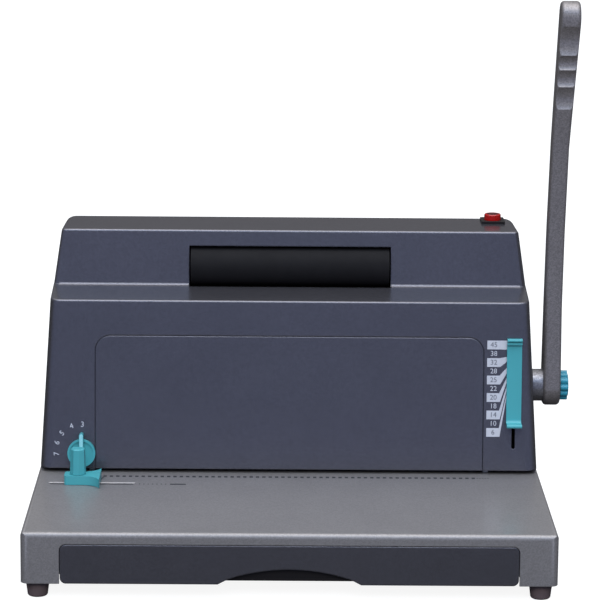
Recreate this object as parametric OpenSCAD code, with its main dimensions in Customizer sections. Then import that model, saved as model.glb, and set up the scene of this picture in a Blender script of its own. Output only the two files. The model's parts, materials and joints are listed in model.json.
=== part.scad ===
// Desktop punch-and-bind machine: a lever drives a bar of round punch pins
// through a rack and pinion at each end of one shaft, a motor turns a soft
// roller that spins the coil into the punched sheets, and the chips fall into
// a drawer in the base. X is the machine's width, Y runs from front to back.

/* [Base] */
// Width of the base
base_w = 397; // [392:1:420]
// Distance from the row of hole marks to the front of the base
base_front = 162; // [150:1:190]
// Distance from the row of hole marks to the back of the base
base_back = 152; // [148:1:170]
// Height of the base's apron
base_h = 39; // [37:0.5:50]
// Sheet thickness of the base
base_t = 2; // [1.5:0.1:2.6]
// Radius on the upper edges of the base
base_edge_r = 4; // [2.7:0.1:6]
// Radius on the upright corners of the base
base_corner_r = 6; // [3:0.5:12]
// Thickness of the base's bottom plate
bottom_t = 1.5; // [1:0.1:2.5]
// Height of the bottom plate above the apron's lower edge
bottom_lift = 4.6; // [3:0.1:6]

/* [Feet] */
// Diameter of a rubber foot at its collar
foot_d = 18; // [16:0.5:20]
// Height by which a foot lifts the apron off the table
foot_h = 12.4; // [10:0.2:16]
// Height of the foot's collar
foot_collar_h = 2.6; // [1.5:0.1:4]
// Distance of the foot's centre from the base's sides
foot_inset = 12; // [11.5:0.5:16]
// Rounding at the bottom of a foot
foot_edge_r = 2; // [1:0.5:2]

/* [Drawer] */
// Width of the drawer front
drawer_w = 338.6; // [330:0.2:342]
// Distance of the drawer's tray from the side of the base
tray_side = 39.2; // [38:0.2:44]
// Height of the drawer front
drawer_h = 29.8; // [28:0.2:31]
// Radius of the drawer front's corners
drawer_corner_r = 4.5; // [3:0.5:7]
// Thickness of the drawer front
drawer_front_t = 4; // [3:0.5:6]
// Wall of the chip tray
tray_wall = 1.6; // [1.2:0.1:2.5]
// Length of the chip tray behind its front
tray_len = 208; // [200:1:220]
// Half width of the finger cut-out at its chamfered top
pull_half_w = 45; // [35:1:60]
// Height of the finger cut-out's arch above the chamfers
pull_rise = 7.4; // [5:0.1:10]

/* [Punch] */
// Distance between two punched holes
hole_pitch = 5; // [4.9:0.05:5.1]
// Number of punched holes
hole_count = 59; // [41:2:59]
// Diameter of a punch pin
pin_d = 4; // [3:0.1:4.2]
// Distance of the pins behind the row of hole marks
punch_y = 33; // [31:0.5:35]
// Height of the paper throat
throat_h = 3.2; // [2.8:0.1:4]
// Thickness of the die plate
die_t = 6; // [4:0.5:6.5]
// Thickness of the guide plate above the throat
guide_t = 8; // [5:0.5:9]
// Depth of the punch bar, front to back
bar_d = 14; // [12:0.5:14]
// Height of the punch bar
bar_h = 30; // [24:1:34]
// Play of the bar's ends in their slots
bar_play = 0.3; // [0.25:0.05:0.5]
// Radial play of a pin in the guide and the die
pin_play = 0.06; // [0.04:0.01:0.1]

/* [Drive] */
// Module of the rack and pinion teeth
tooth_m = 1; // [0.9:0.05:1.05]
// Number of teeth on a pinion
tooth_count = 15; // [14:1:16]
// Width of a pinion
pinion_w = 14; // [10:1:16]
// Play between the flanks of rack and pinion
tooth_play = 0.2; // [0.15:0.05:0.3]
// Diameter of the lever shaft
shaft_d = 10; // [9:0.5:10.5]
// Height of the shaft above the base's top
shaft_lift = 63.5; // [60:0.5:68]
// Radial play of a turning shaft in its bearing
shaft_play = 0.08; // [0.05:0.01:0.1]

/* [Lever] */
// Distance from the shaft to the top of the lever
lever_len = 308; // [260:2:330]
// Width of the lever
lever_w = 13.8; // [12:0.2:17]
// Width of the lever's grip at its top
grip_w = 15.6; // [14:0.2:19]
// Radius of the lever's lower end
lever_hub_r = 16; // [15:0.2:20]
// Half depth of the lever's shank
shank_r = 10; // [8:0.5:11]
// Half depth of the grip
grip_body_r = 12.2; // [11.4:0.2:13]
// Radius of the lever's rounded top
grip_r = 13; // [12.5:0.5:15]
// Distance by which the lever's top stands out from its foot
lever_out = 8; // [4:0.5:12]
// Length of the boss between housing and lever
boss_len = 8.2; // [7:0.2:12]
// Diameter of the boss
boss_d = 25.6; // [20:0.2:28]
// Diameter of the clamping knob
knob_d = 24; // [20:0.5:28]
// Thickness of the clamping knob
knob_t = 6.4; // [5:0.2:9]

/* [Housing] */
// Wall of the housing
wall = 2; // [1.5:0.1:2.5]
// Width of the housing at its foot
house_w = 394; // [389:1:396]
// Width of the housing at the ledge
ledge_w = 377.6; // [372:0.2:384]
// Width of the housing at its top
top_w = 365; // [360:0.5:372]
// Height of the ledge's back above the base's top
ledge_z = 141; // [138:0.5:146]
// Height of the housing's top above the base's top
house_h = 184.6; // [182:0.2:190]
// Distance of the housing's front foot behind the row of hole marks
face_y = 12; // [11:0.5:14]
// Angle by which the lower front leans back
face_lean = 5.7; // [4.5:0.1:6.5]
// Depth of the ledge
ledge_d = 40; // [36:1:44]
// Rise of the ledge towards the back
ledge_rise = 4.9; // [3:0.1:6]
// Angle by which the upper front leans back
upper_lean = 8; // [6:0.5:10]
// Distance of the housing's back foot from the back of the base
back_gap = 4; // [2:0.5:8]
// Angle by which the back leans forward
back_lean = 2.9; // [2:0.1:4]
// Radius of the lower front's upright edges
face_edge_r = 9; // [5:0.5:12]
// Radius of the upper front's upright edges
upper_edge_r = 4; // [2.5:0.5:8]
// Radius of the housing's upright back edges
back_edge_r = 10; // [6:0.5:14]
// Rounding along the ledge and the top's front edge
rim_r = 2; // [1:0.1:2.6]
// Rounding along the top's back edge
back_rim_r = 7.5; // [3:0.5:8]
// Width of the front panel
panel_w = 306; // [274:1:310]
// Height of the front panel
panel_h = 105.6; // [100:0.2:110]
// Radius of the front panel's upper corners
panel_r = 12; // [6:0.5:20]
// Width of the gap round the front panel
panel_gap = 0.5; // [0.3:0.1:0.8]

/* [Coil roller] */
// Diameter of the soft roller
roller_d = 31; // [28:0.5:32]
// Length of the soft roller
roller_len = 158.6; // [140:0.2:170]
// Diameter of the roller's shaft
roller_shaft_d = 6; // [5:0.5:6.5]
// Height of the roller's shaft above the ledge's back
roller_lift = 13.7; // [13:0.1:16]
// Distance of the roller's shaft behind the ledge's back
roller_back = 11.4; // [11.2:0.2:13]
// Gap between the roller's end and the recess
roller_gap = 1.2; // [0.8:0.1:3]
// Depth by which the recess cuts into the ledge
recess_lip = 4.2; // [3:0.1:5]
// Diameter of the motor
motor_d = 34; // [28:1:36]
// Length of the motor
motor_len = 50; // [40:1:52]
// Distance of the motor's shaft behind the roller's shaft
motor_back = 40; // [36:1:41]

/* [Controls] */
// Height of the margin dial's centre above the face's foot
dial_s = 12.4; // [12:0.1:16]
// Distance of the margin dial's centre from the front panel
dial_gap = 10.9; // [10:0.1:14]
// Diameter of the margin dial
dial_d = 22; // [18:0.5:23]
// Length of the margin dial's pointer from the centre
pointer_len = 16.2; // [14:0.2:18]
// Change of margin over a quarter turn of the dial
margin_travel = 4; // [3:0.5:4]
// Width of the gauge slider
gauge_w = 11.8; // [10:0.2:14]
// Length of the gauge slider
gauge_len = 70.2; // [66:0.2:74]
// Height of the gauge slider's lower end above the face's foot
gauge_s = 35.3; // [35:0.1:37]
// Distance of the gauge slider's middle from the front panel
gauge_gap = 24.2; // [22:0.2:26]
// Reach of the gauge slider's foot
gauge_foot = 12; // [8:0.5:14]
// Travel of the gauge slider
gauge_travel = 32; // [28:1:32]
// Diameter of the side stop's knob
stop_knob_d = 12.2; // [10:0.2:14]
// Height of the side stop's knob
stop_knob_h = 20.2; // [14:0.2:24]
// Thickness of the side stop's block
stop_h = 7.2; // [5:0.2:10]
// Distance of the side stop's knob from the machine's middle
stop_x = 164.6; // [163:0.2:168]
// Width of the slot for the side stop
stop_slot_w = 4; // [3.4:0.1:5]
// Diameter of the power button's cap
button_d = 13.5; // [11:0.5:15]
// Height of the power button's cap above its bezel
button_h = 4.8; // [4:0.2:7]
// Travel of the power button
button_travel = 2.5; // [2:0.1:3]

/* [Hidden] */

$fn = 64;
EPS = 0.01;
// Facets of the pieces that a hull is stretched over
HULL_FN = 32;
// Thickness of the plain discs among them
disc_t = 0.6;
SILVER = [0.52, 0.53, 0.55];
CHARCOAL = [0.27, 0.28, 0.33];
TEAL = [0.24, 0.62, 0.66];
BLACK = [0.09, 0.09, 0.10];
STEEL = [0.66, 0.67, 0.69];
BRASS = [0.72, 0.60, 0.34];

// Running gap between a flat moving piece and its neighbour
slide_gap = 0.3;
// Gap between a fixed piece and the opening it sits in
fit_gap = 0.15;

// ---- feet ----
foot_waist_r = foot_d / 2 - 0.4;
foot_tip_r = foot_d / 2 - 1.4;
foot_bore_d = 8.4;
foot_screw_d = 4;

// ---- heights, from the table up ----
base_z = foot_h;
top_z = foot_h + base_h;
bottom_z = base_z + bottom_lift;
ledge_back_z = top_z + ledge_z;
ledge_front_z = ledge_back_z - ledge_rise;
house_z = top_z + house_h;
shaft_z = top_z + shaft_lift;

// ---- housing outline ----
face_z = top_z + throat_h;
function face_at(z) = face_y + (z - face_z) * tan(face_lean);
ledge_front_y = face_at(ledge_front_z);
ledge_back_y = ledge_front_y + ledge_d;
function upper_at(z) = ledge_back_y + (z - ledge_back_z) * tan(upper_lean);
top_front_y = upper_at(house_z);
back_foot_y = base_back - back_gap;
function back_at(z) = back_foot_y - (z - top_z) * tan(back_lean);
function side_at(z) = z < ledge_back_z
    ? (house_w + (ledge_w - house_w) * (z - top_z) / ledge_z) / 2
    : (ledge_w + (top_w - ledge_w) * (z - ledge_back_z) / (house_z - ledge_back_z)) / 2;

ledge_tilt = atan(ledge_rise / ledge_d);
side_lean = atan((ledge_w - top_w) / 2 / (house_z - ledge_back_z));
// The lower front and the ledge, drawn in by an inset, and the edge where they meet
function face_in(z, t) = face_at(z) + t / cos(face_lean);
function ledge_in(y, t) = ledge_front_z + (y - ledge_front_y) * tan(ledge_tilt) - t / cos(ledge_tilt);
function edge_in(t) = (t / cos(face_lean) - tan(face_lean) * t / cos(ledge_tilt))
    / (1 - tan(face_lean) * tan(ledge_tilt));

// ---- front panel and what stands beside it ----
dial_x = panel_w / 2 + dial_gap;
gauge_x = panel_w / 2 + gauge_gap;
// Gap between a seat's flat faces
seat_gap = 0.02;

// ---- drive ----
pitch_r = tooth_m * tooth_count / 2;
// Stub teeth, which keep a small pinion clear of the rack's tips
tooth_add = 0.8 * tooth_m;
tooth_ded = 1.0 * tooth_m;
pressure = 20;
rack_back_y = punch_y + bar_d / 2;
rack_t = 5.5;
pitch_y = rack_back_y + rack_t + tooth_ded;
shaft_y = pitch_y + pitch_r;
lever_throw = 85;
punch_travel = pitch_r * lever_throw * PI / 180;
rack_x = 140;
rack_w = 12;
frame_x = hole_pitch * (hole_count - 1) / 2 + 9;
frame_t = 4;
frame_h = 112;
guide_front = punch_y - 11;
guide_back = punch_y + 12;
guide_top_z = top_z + throat_h + guide_t;
pin_tip_z = top_z + throat_h + 0.5;
bar_z = guide_top_z + punch_travel + 1.6;
slot_top_z = bar_z + bar_h + 1.5;
spring_x = 100;
rod_top_z = top_z + 100;
rod_d = 6;
rod_spots = [[punch_y, rod_top_z], [shaft_y + 20, top_z + 78], [shaft_y + 20, top_z + 22]];
die_half_w = frame_x - 1;
// Length of the die plate's end shoulders, and depth of a pin's head in the bar
die_tab = 8;
pin_grip = 10;
rack_screw_zs = [bar_z + 8, bar_z + 20];
frame_foot_w = 14;
frame_foot_t = 3;
frame_back_y = shaft_y + 30;
frame_foot_y = shaft_y + 6.5;
frame_screw_ys = [shaft_y + 11, shaft_y + 23];
bush_wall = 3;
bush_flange_t = 3;

// ---- lever ----
boss_x = side_at(shaft_z - boss_d / 2) + slide_gap;
lever_x = boss_x + boss_len;
square_w = 7;
stud_d = 6;
// Rounding of the lever's edges
lever_rim = 3;
knob_x = lever_x + lever_w + slide_gap;
// Length of the finger grooves' stretch, down from the centre of the rounded top
grip_len = 71;
grip_top_up = lever_len - grip_r;
// The lever's bends: height above the shaft, share of the way out, half depth, width
bends = [
    [0, 0, lever_hub_r, lever_w],
    [0.22 * grip_top_up, 0, shank_r + 0.5, lever_w - 0.2],
    [0.43 * grip_top_up, 0.1, shank_r, lever_w - 0.3],
    [0.66 * grip_top_up, 0.31, shank_r, lever_w - 0.3],
    [grip_top_up - grip_len, 0.5, grip_body_r, lever_w],
    [grip_top_up, 1, grip_r, grip_w]
];
// Grooves of the grip: distance down from the centre of the rounded top, radius, depth
grooves = [[17.5, 24, 2.4], [34.5, 9, 1.9], [46.7, 11, 2.2], [62.2, 18, 2.3]];
knob_lobes = 12;
ring_t = 0.8;
ring_x = frame_x + frame_t + bush_flange_t + ring_t / 2 + 0.3;

// ---- drawer ----
notch_gap = 0.5;
tray_w = base_w - 2 * tray_side;
tray_top_z = top_z - base_t - die_t - 2.6;
tray_z = bottom_z + bottom_t + slide_gap;
flange_w = 5;
rim_t = 1.6;
runner_t = 1.2;
notch_h = drawer_h + notch_gap;
arch_r = (pull_half_w * pull_half_w + pull_rise * pull_rise) / (2 * pull_rise);
pull_chamfer = 8;

// ---- roller and motor ----
roller_y = ledge_back_y + roller_back;
roller_z = ledge_back_z + roller_lift;
recess_w = roller_len + 2 * roller_gap;
recess_z0 = roller_z - roller_d / 2 - 0.8;
recess_z1 = roller_z + roller_d / 2 + 1.7;
motor_y = roller_y + motor_back;
trough_t = 1.5;
pulley_w = 6;
pulley_x = recess_w / 2 + trough_t + 10;
roller_pulley_d = 9.2;
motor_pulley_d = 2 * roller_pulley_d;
pulley_rim = 0.8;
belt_t = 1.2;
belt_gap = 0.3;
bearing_d = roller_shaft_d + 4.5;
core_d = roller_d - 10;
motor_x = pulley_x + pulley_w / 2 + 5;
motor_shaft_d = 5;
motor_nose_d = 14;
bracket_t = 2;

// ---- back ----
// Insets from the housing's outline: plate, its screws, the opening
plate_inset = back_edge_r + 0.5;
screw_inset = plate_inset + 4;
rear_rim = plate_inset + 8;
rear_plate_t = 1.5;
rear_screw_d = 3;
rear_screw_spots = [
    for (s = [-1, 1]) each [
        [s * (side_at(top_z) - screw_inset), screw_inset],
        [s * (side_at(ledge_back_z) - screw_inset), ledge_z - 10],
        [s * side_at(house_z) / 3, house_h - screw_inset]
    ]
];
inlet_x = 130;
inlet_s = 34;
inlet_w = 27;
inlet_h = 19.5;
inlet_depth = 22;
vents = 9;
vent_pitch = 8;
vent_x = motor_x + motor_len / 2;

// ---- controls ----
stop_slot_y = -21;
stop_slot_x0 = -186.1;
stop_slot_x1 = -121.5;
// Chamfer along the slot's upper edges
slot_chamfer = 0.7;
button_x = 164.7;
button_y = top_front_y + 46;
bezel_w = 19;
bezel_d = 22;
bezel_t = 2;
switch_w = bezel_w - 4.4;
switch_d = bezel_d - 4.4;
bush_d = 9;
dial_shaft_d = 6;
dial_out = 0.5;
dial_t = 3;
stop_front_y = punch_y + pin_d / 2 + 3;
// Length of the dial's shaft behind the face, up to the foot of its cam
cam_y = 28;
cam_r = 5.2;
cam_inner_r = 2.2;
cam_ring_r = cam_r - 0.3;
cam_plate = 2;
cam_nub_r = 3.8;
cam_axis_z = face_z + dial_s * cos(face_lean) - (cam_y + 3) * sin(face_lean);
cam_end_y = face_y + dial_s * sin(face_lean) + (cam_y + 3) * cos(face_lean);
// Nub that rides on the cam, and the tab that carries it
nub_len = 1.2 * margin_travel + 1.2;
stop_tab_y = cam_end_y + 0.6 + nub_len;
stop_tab_t = 2;
stop_tab_half = 5;
stop_bar_half = frame_x - 4;
stop_bar_d = 9;
stop_tail_x = 110;
stop_tail_w = 12;
stop_tail_y = stop_front_y + 14;
stop_body = 7.2;
stop_tail = 17.7;
stop_screw_d = 2;
// Depth to which the stud enters the knob
stud_grip = 12;
gauge_t = 2.2;
gauge_foot_t = 3;
gauge_fillet = 3;
gauge_slot_w = 2.6;
gauge_pin_d = 2;
gauge_pin_low = gauge_s + gauge_travel - 16;
gauge_pin_high = gauge_s + gauge_len - 14;
gauge_slot_low = gauge_pin_low - gauge_travel - 0.6;
gauge_slot_high = gauge_pin_high + 0.6;

// ---- the origin: centre of the outline, on the table ----
outline_x0 = -base_w / 2;
outline_x1 = max(knob_x + knob_t, lever_x + lever_w / 2 + lever_out + grip_w / 2);
origin = [(outline_x0 + outline_x1) / 2, (base_back - base_front) / 2, 0];

// ---------- shared shapes ----------

// Puts what the machine's own frame describes round the part's origin.
module place() {
    translate(-origin) children();
}

// X to the right, Z up the leaning face from its foot, Y into the housing.
module on_face() {
    translate([0, face_y, face_z]) rotate([-face_lean, 0, 0]) children();
}

module box(x0, x1, y0, y1, z0, z1) {
    translate([x0, y0, z0]) cube([x1 - x0, y1 - y0, z1 - z0]);
}

// Rectangle with its two upper corners rounded, standing on the X axis.
module arched(w, h, r) {
    translate([-w / 2, 0]) square([w, h - r]);
    translate([-w / 2 + r, 0]) square([w - 2 * r, h]);
    for (s = [-1, 1]) translate([s * (w / 2 - r), h - r]) circle(r = r);
}

// Rectangle with all corners rounded, about its middle.
module rounded(w, d, r) {
    square([w - 2 * r, d], center = true);
    square([w, d - 2 * r], center = true);
    for (x = [-1, 1], y = [-1, 1]) translate([x * (w / 2 - r), y * (d / 2 - r)]) circle(r = r);
}

// A bar along X with a profile drawn in Y and Z.
module along_x(x0, x1) {
    translate([x0, 0, 0]) rotate([90, 0, 90]) linear_extrude(x1 - x0) children();
}

// A bar along Y with a profile drawn in X and Z.
module along_y(y0, y1) {
    translate([0, y1, 0]) rotate([90, 0, 0]) linear_extrude(y1 - y0) children();
}

module rod_x(x0, x1, y, z, d) {
    translate([x0, y, z]) rotate([0, 90, 0]) cylinder(d = d, h = x1 - x0);
}

module both_sides() {
    children();
    mirror([1, 0, 0]) children();
}

// ---------- base ----------

// Solid of the base's outline, drawn in by an inset.
module base_block(inset) {
    w = base_w - 2 * inset;
    d = base_front + base_back - 2 * inset;
    mid_y = (base_back - base_front) / 2;
    z1 = top_z - inset;
    r = base_edge_r - inset;
    intersection() {
        along_y(-base_front + inset, base_back - inset)
            translate([0, base_z - inset]) arched(w, z1 - base_z + inset, r);
        along_x(-w / 2, w / 2)
            translate([mid_y, base_z - inset]) arched(d, z1 - base_z + inset, r);
        translate([0, mid_y, base_z - inset]) linear_extrude(base_h + 1) rounded(w, d, base_corner_r - inset);
    }
}

module base_pan() {
    color(SILVER) place() difference() {
        base_block(0);
        base_block(base_t);
        // notch for the drawer, open at the apron's lower edge
        translate([0, 0, base_z - EPS]) along_y(-base_front - 1, -base_front + base_t + 1)
            arched(drawer_w + 2 * notch_gap, notch_h, drawer_corner_r + notch_gap);
        // opening for the die plate
        box(-die_half_w - fit_gap, die_half_w + fit_gap, guide_front - fit_gap, guide_back + fit_gap,
            top_z - base_t - 1, top_z + 1);
        stop_slot();
    }
}

// Slot for the side stop, with chamfered upper edges.
module stop_slot() {
    half = stop_slot_w / 2;
    c = slot_chamfer;
    along_x(stop_slot_x0, stop_slot_x1) translate([stop_slot_y, top_z]) polygon([
        [-half, -base_t - 1], [half, -base_t - 1], [half, -c], [half + c, 0],
        [half + c, 1], [-half - c, 1], [-half - c, 0], [-half, -c]
    ]);
    for (x = [stop_slot_x0, stop_slot_x1]) translate([x, stop_slot_y, top_z]) {
        translate([0, 0, -base_t - 1]) cylinder(r = half, h = base_t + 1);
        translate([0, 0, -c]) cylinder(r1 = half, r2 = half + c, h = c);
        translate([0, 0, -EPS]) cylinder(r = half + c, h = 1);
    }
}

module bottom_plate() {
    w = base_w - 2 * base_t - 2 * fit_gap;
    d = base_front + base_back - 2 * base_t - 2 * fit_gap;
    front_clear = drawer_front_t + tray_wall + 4;
    color(SILVER) place() {
        difference() {
            translate([0, (base_back - base_front) / 2, bottom_z]) linear_extrude(bottom_t)
                rounded(w, d, base_corner_r - base_t);
            // the drawer's front wall passes here
            box(-drawer_w / 2 - 1, drawer_w / 2 + 1, -base_front - 1, -base_front + front_clear, 0, top_z);
            foot_spots() cylinder(d = foot_screw_d, h = top_z);
        }
        // pads that the feet are screwed up against
        difference() {
            foot_spots() translate([0, 0, base_z]) cylinder(d = foot_d - 3, h = bottom_lift);
            foot_spots() cylinder(d = foot_screw_d, h = top_z);
        }
    }
}

module foot_spots() {
    x = base_w / 2 - foot_inset;
    for (sx = [-1, 1], y = [-base_front + foot_inset + 1, base_back - foot_inset - 1])
        translate([sx * x, y, 0]) children();
}

module feet() {
    color(BLACK) place() foot_spots() difference() {
        rotate_extrude() {
            polygon([
                [0, foot_edge_r], [foot_tip_r, foot_edge_r], [foot_waist_r, foot_h - foot_collar_h],
                [foot_d / 2, foot_h - foot_collar_h], [foot_d / 2, foot_h], [0, foot_h]
            ]);
            square([foot_tip_r - foot_edge_r, foot_edge_r + EPS]);
            translate([foot_tip_r - foot_edge_r, foot_edge_r]) circle(r = foot_edge_r);
        }
        translate([0, 0, -EPS]) cylinder(d = foot_bore_d, h = foot_h / 2);
        cylinder(d = foot_screw_d, h = foot_h + 1);
    }
}

module foot_screws() {
    screw_len = foot_h / 2 + bottom_lift + bottom_t + 2;
    color(STEEL) place() foot_spots() {
        translate([0, 0, foot_h / 2 - 3]) cylinder(d = 7.5, h = 3);
        translate([0, 0, foot_h / 2 - EPS]) cylinder(d = 3.9, h = screw_len);
        // nut on the bottom plate
        translate([0, 0, bottom_z + bottom_t]) cylinder(d = 7.6, h = 3, $fn = 6);
    }
}

// Channels on the bottom plate that the tray's rims run in.
module drawer_runners() {
    z0 = bottom_z + bottom_t;
    rim_z = tray_top_z - rim_t;
    web_x = tray_w / 2 + flange_w + slide_gap;
    color(STEEL) place() both_sides() along_y(-base_front + base_t + 6, -base_front + base_t + tray_len) {
        translate([web_x, z0]) square([runner_t, tray_top_z + slide_gap + runner_t - z0]);
        translate([web_x, z0]) square([9, runner_t]);
        translate([web_x - flange_w + 0.7, rim_z - slide_gap - runner_t]) square([flange_w, runner_t]);
        translate([web_x - flange_w + 0.7, tray_top_z + slide_gap]) square([flange_w, runner_t]);
    }
}

module drawer_tray() {
    y0 = -base_front + drawer_front_t;
    y1 = y0 + tray_len;
    w = tray_w / 2;
    color(BLACK) place() {
        difference() {
            box(-w, w, y0, y1, tray_z, tray_top_z);
            box(-w + tray_wall, w - tray_wall, y0 + tray_wall, y1 - tray_wall,
                tray_z + tray_wall, tray_top_z + 1);
        }
        // rims that run in the channels
        both_sides() box(w - EPS, w + flange_w, y0 + 10, y1, tray_top_z - rim_t, tray_top_z);
        // lip behind the finger cut-out
        box(-pull_half_w - pull_chamfer, pull_half_w + pull_chamfer, y0, y0 + tray_wall,
            bottom_z, tray_z + EPS);
    }
}

// Finger cut-out: a chamfered notch with a low arch above it.
module finger_cut() {
    chamfer_h = bottom_lift - 0.4;
    polygon([
        [-pull_half_w - pull_chamfer, -1], [-pull_half_w - pull_chamfer, 0], [-pull_half_w, chamfer_h],
        [pull_half_w, chamfer_h], [pull_half_w + pull_chamfer, 0], [pull_half_w + pull_chamfer, -1]
    ]);
    intersection() {
        translate([0, chamfer_h + pull_rise - arch_r]) circle(r = arch_r, $fn = 256);
        translate([-pull_half_w, chamfer_h - EPS]) square([2 * pull_half_w, pull_rise + 1]);
    }
}

module drawer_front() {
    h = drawer_h - 0.2;
    color(CHARCOAL) place() translate([0, 0, base_z + 0.2]) along_y(-base_front, -base_front + drawer_front_t)
        difference() {
            translate([0, h / 2]) rounded(drawer_w, h, drawer_corner_r);
            finger_cut();
        }
}

// ---------- punch ----------

module hole_spots() {
    half = (hole_count - 1) / 2;
    for (i = [-half:half]) translate([i * hole_pitch, punch_y, 0]) children();
}

module die_plate() {
    color(STEEL) place() difference() {
        union() {
            box(-die_half_w, die_half_w, guide_front, guide_back, top_z - die_t, top_z);
            // shoulders that bear against the underside of the base's top
            both_sides() box(die_half_w - EPS, die_half_w + die_tab, guide_front + 3, guide_back - 3,
                top_z - die_t, top_z - base_t);
        }
        hole_spots() translate([0, 0, top_z - die_t - 1])
            cylinder(d = pin_d + 2 * pin_play, h = die_t + 2, $fn = 24);
    }
}

module punch_guide() {
    color(STEEL) place() difference() {
        box(-frame_x, frame_x, guide_front, guide_back, top_z + throat_h, guide_top_z);
        hole_spots() translate([0, 0, top_z])
            cylinder(d = pin_d + 2 * pin_play, h = throat_h + guide_t + 1, $fn = 24);
    }
}

module punch_pins() {
    color(STEEL) place() hole_spots() translate([0, 0, pin_tip_z]) {
        cylinder(d = pin_d, h = bar_z + pin_grip - pin_tip_z, $fn = 24);
    }
}

module punch_bar() {
    color(STEEL) place() difference() {
        box(-frame_x - frame_t + 0.5, frame_x + frame_t - 0.5, punch_y - bar_d / 2, punch_y + bar_d / 2,
            bar_z, bar_z + bar_h);
        hole_spots() translate([0, 0, bar_z - 1]) cylinder(d = pin_d, h = pin_grip + 1, $fn = 24);
        // eyes for the return springs
        both_sides() translate([spring_x, punch_y - bar_d, bar_z + bar_h - 3]) rotate([-90, 0, 0])
            cylinder(d = 2.2, h = 2 * bar_d);
    }
}

// Rack teeth along Z, pointing towards +Y from the root line, with a gap at z = 0.
module rack_teeth(n) {
    half = tooth_m * PI / 4 - tooth_play / 2;
    root = half + tooth_ded * tan(pressure);
    tip = half - tooth_add * tan(pressure);
    for (i = [-1:n - 2]) translate([0, (i + 0.5) * tooth_m * PI])
        polygon([
            [-1, -root], [0, -root], [tooth_ded + tooth_add, -tip],
            [tooth_ded + tooth_add, tip], [0, root], [-1, root]
        ]);
}

module racks() {
    n = ceil(punch_travel / (tooth_m * PI)) + 3;
    z0 = bar_z + 4;
    z1 = shaft_z + (n - 1) * tooth_m * PI;
    color(STEEL) place() both_sides() translate([rack_x - rack_w / 2, 0, 0]) difference() {
        along_x(0, rack_w) {
            translate([rack_back_y, z0]) square([rack_t, z1 - z0]);
            translate([rack_back_y + rack_t, shaft_z]) rack_teeth(n);
        }
        for (z = rack_screw_zs) translate([rack_w / 2, rack_back_y - 1, z]) rotate([-90, 0, 0])
            cylinder(d = 3.4, h = rack_t + 3);
    }
}

module rack_screws() {
    color(STEEL) place() both_sides() for (z = rack_screw_zs)
        translate([rack_x, rack_back_y, z]) rotate([-90, 0, 0]) {
            translate([0, 0, rack_t]) cylinder(d = 5.6, h = 2);
            cylinder(d = 3.2, h = rack_t + EPS);
        }
}

// Extension springs that lift the bar, simplified to ribbed sleeves.
module return_springs() {
    z0 = bar_z + bar_h + 2;
    z1 = rod_top_z - 6;
    turns = 12;
    pitch = (z1 - z0) / turns;
    color(STEEL) place() both_sides() translate([spring_x, punch_y, 0]) {
        rotate_extrude($fn = 24) for (i = [0:turns - 1]) polygon([
            [2.4, z0 + i * pitch], [3.6, z0 + (i + 0.5) * pitch],
            [2.4, z0 + (i + 1) * pitch], [1.6, z0 + (i + 1) * pitch],
            [1.6, z0 + i * pitch]
        ]);
        // closed ends with a hook
        for (z = [z0 - EPS, z1 - 1]) translate([0, 0, z]) cylinder(r = 2.4, h = 1 + EPS, $fn = 24);
        translate([0, 0, bar_z + bar_h + slide_gap]) cylinder(d = 1.2, h = 2, $fn = 16);
        translate([0, 0, z1 - EPS]) cylinder(d = 1.2, h = rod_top_z - rod_d / 2 - z1, $fn = 16);
    }
}

// Side profile of a frame plate, in Y and Z.
module frame_profile() {
    polygon([
        [guide_front - 3, top_z], [guide_front - 3, top_z + 14], [guide_front + 5, top_z + frame_h],
        [frame_back_y - 18, top_z + frame_h], [frame_back_y, top_z + frame_h - 26], [frame_back_y, top_z]
    ]);
}

module frame_plate_shape() {
    x0 = frame_x - 1;
    x1 = frame_x + frame_t + 1;
    difference() {
        union() {
            along_x(frame_x, frame_x + frame_t) frame_profile();
            // foot bent outwards, screwed to the base
            box(frame_x, frame_x + frame_t + frame_foot_w, frame_foot_y, frame_back_y,
                top_z, top_z + frame_foot_t);
        }
        // upright slot that guides the bar's end
        box(x0, x1, punch_y - bar_d / 2 - bar_play, punch_y + bar_d / 2 + bar_play,
            bar_z - punch_travel - 1, slot_top_z);
        // window for the arm of the margin stop
        box(x0, x1, punch_y - 1, shaft_y + 2, top_z - 1, top_z + throat_h);
        rod_x(x0, x1, shaft_y, shaft_z, shaft_d + 2 * bush_wall);
        for (p = rod_spots) rod_x(x0, x1, p[0], p[1], rod_d - 1);
        for (y = frame_screw_ys)
            translate([frame_x + frame_t + frame_foot_w / 2, y, top_z - 1]) cylinder(d = 4, h = 6);
    }
}

module frame_plate_left() {
    color(STEEL) place() mirror([1, 0, 0]) frame_plate_shape();
}

module frame_plate_right() {
    color(STEEL) place() frame_plate_shape();
}

// Rods with a reduced end in each frame plate and a nut outside it.
module tie_rods() {
    color(STEEL) place() for (p = rod_spots) {
        rod_x(-frame_x, frame_x, p[0], p[1], rod_d);
        both_sides() {
            rod_x(frame_x - EPS, frame_x + frame_t + EPS, p[0], p[1], rod_d - 1);
            rod_x(frame_x + frame_t, frame_x + frame_t + 3, p[0], p[1], rod_d + 3);
        }
    }
}

module shaft_bushes() {
    color(BRASS) place() both_sides() difference() {
        union() {
            rod_x(frame_x, frame_x + frame_t, shaft_y, shaft_z, shaft_d + 2 * bush_wall);
            rod_x(frame_x + frame_t, frame_x + frame_t + bush_flange_t,
                shaft_y, shaft_z, shaft_d + 4 * bush_wall);
        }
        rod_x(frame_x - 1, frame_x + frame_t + bush_flange_t + 1, shaft_y, shaft_z, shaft_d + 2 * shaft_play);
    }
}

// ---------- drive ----------

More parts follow.
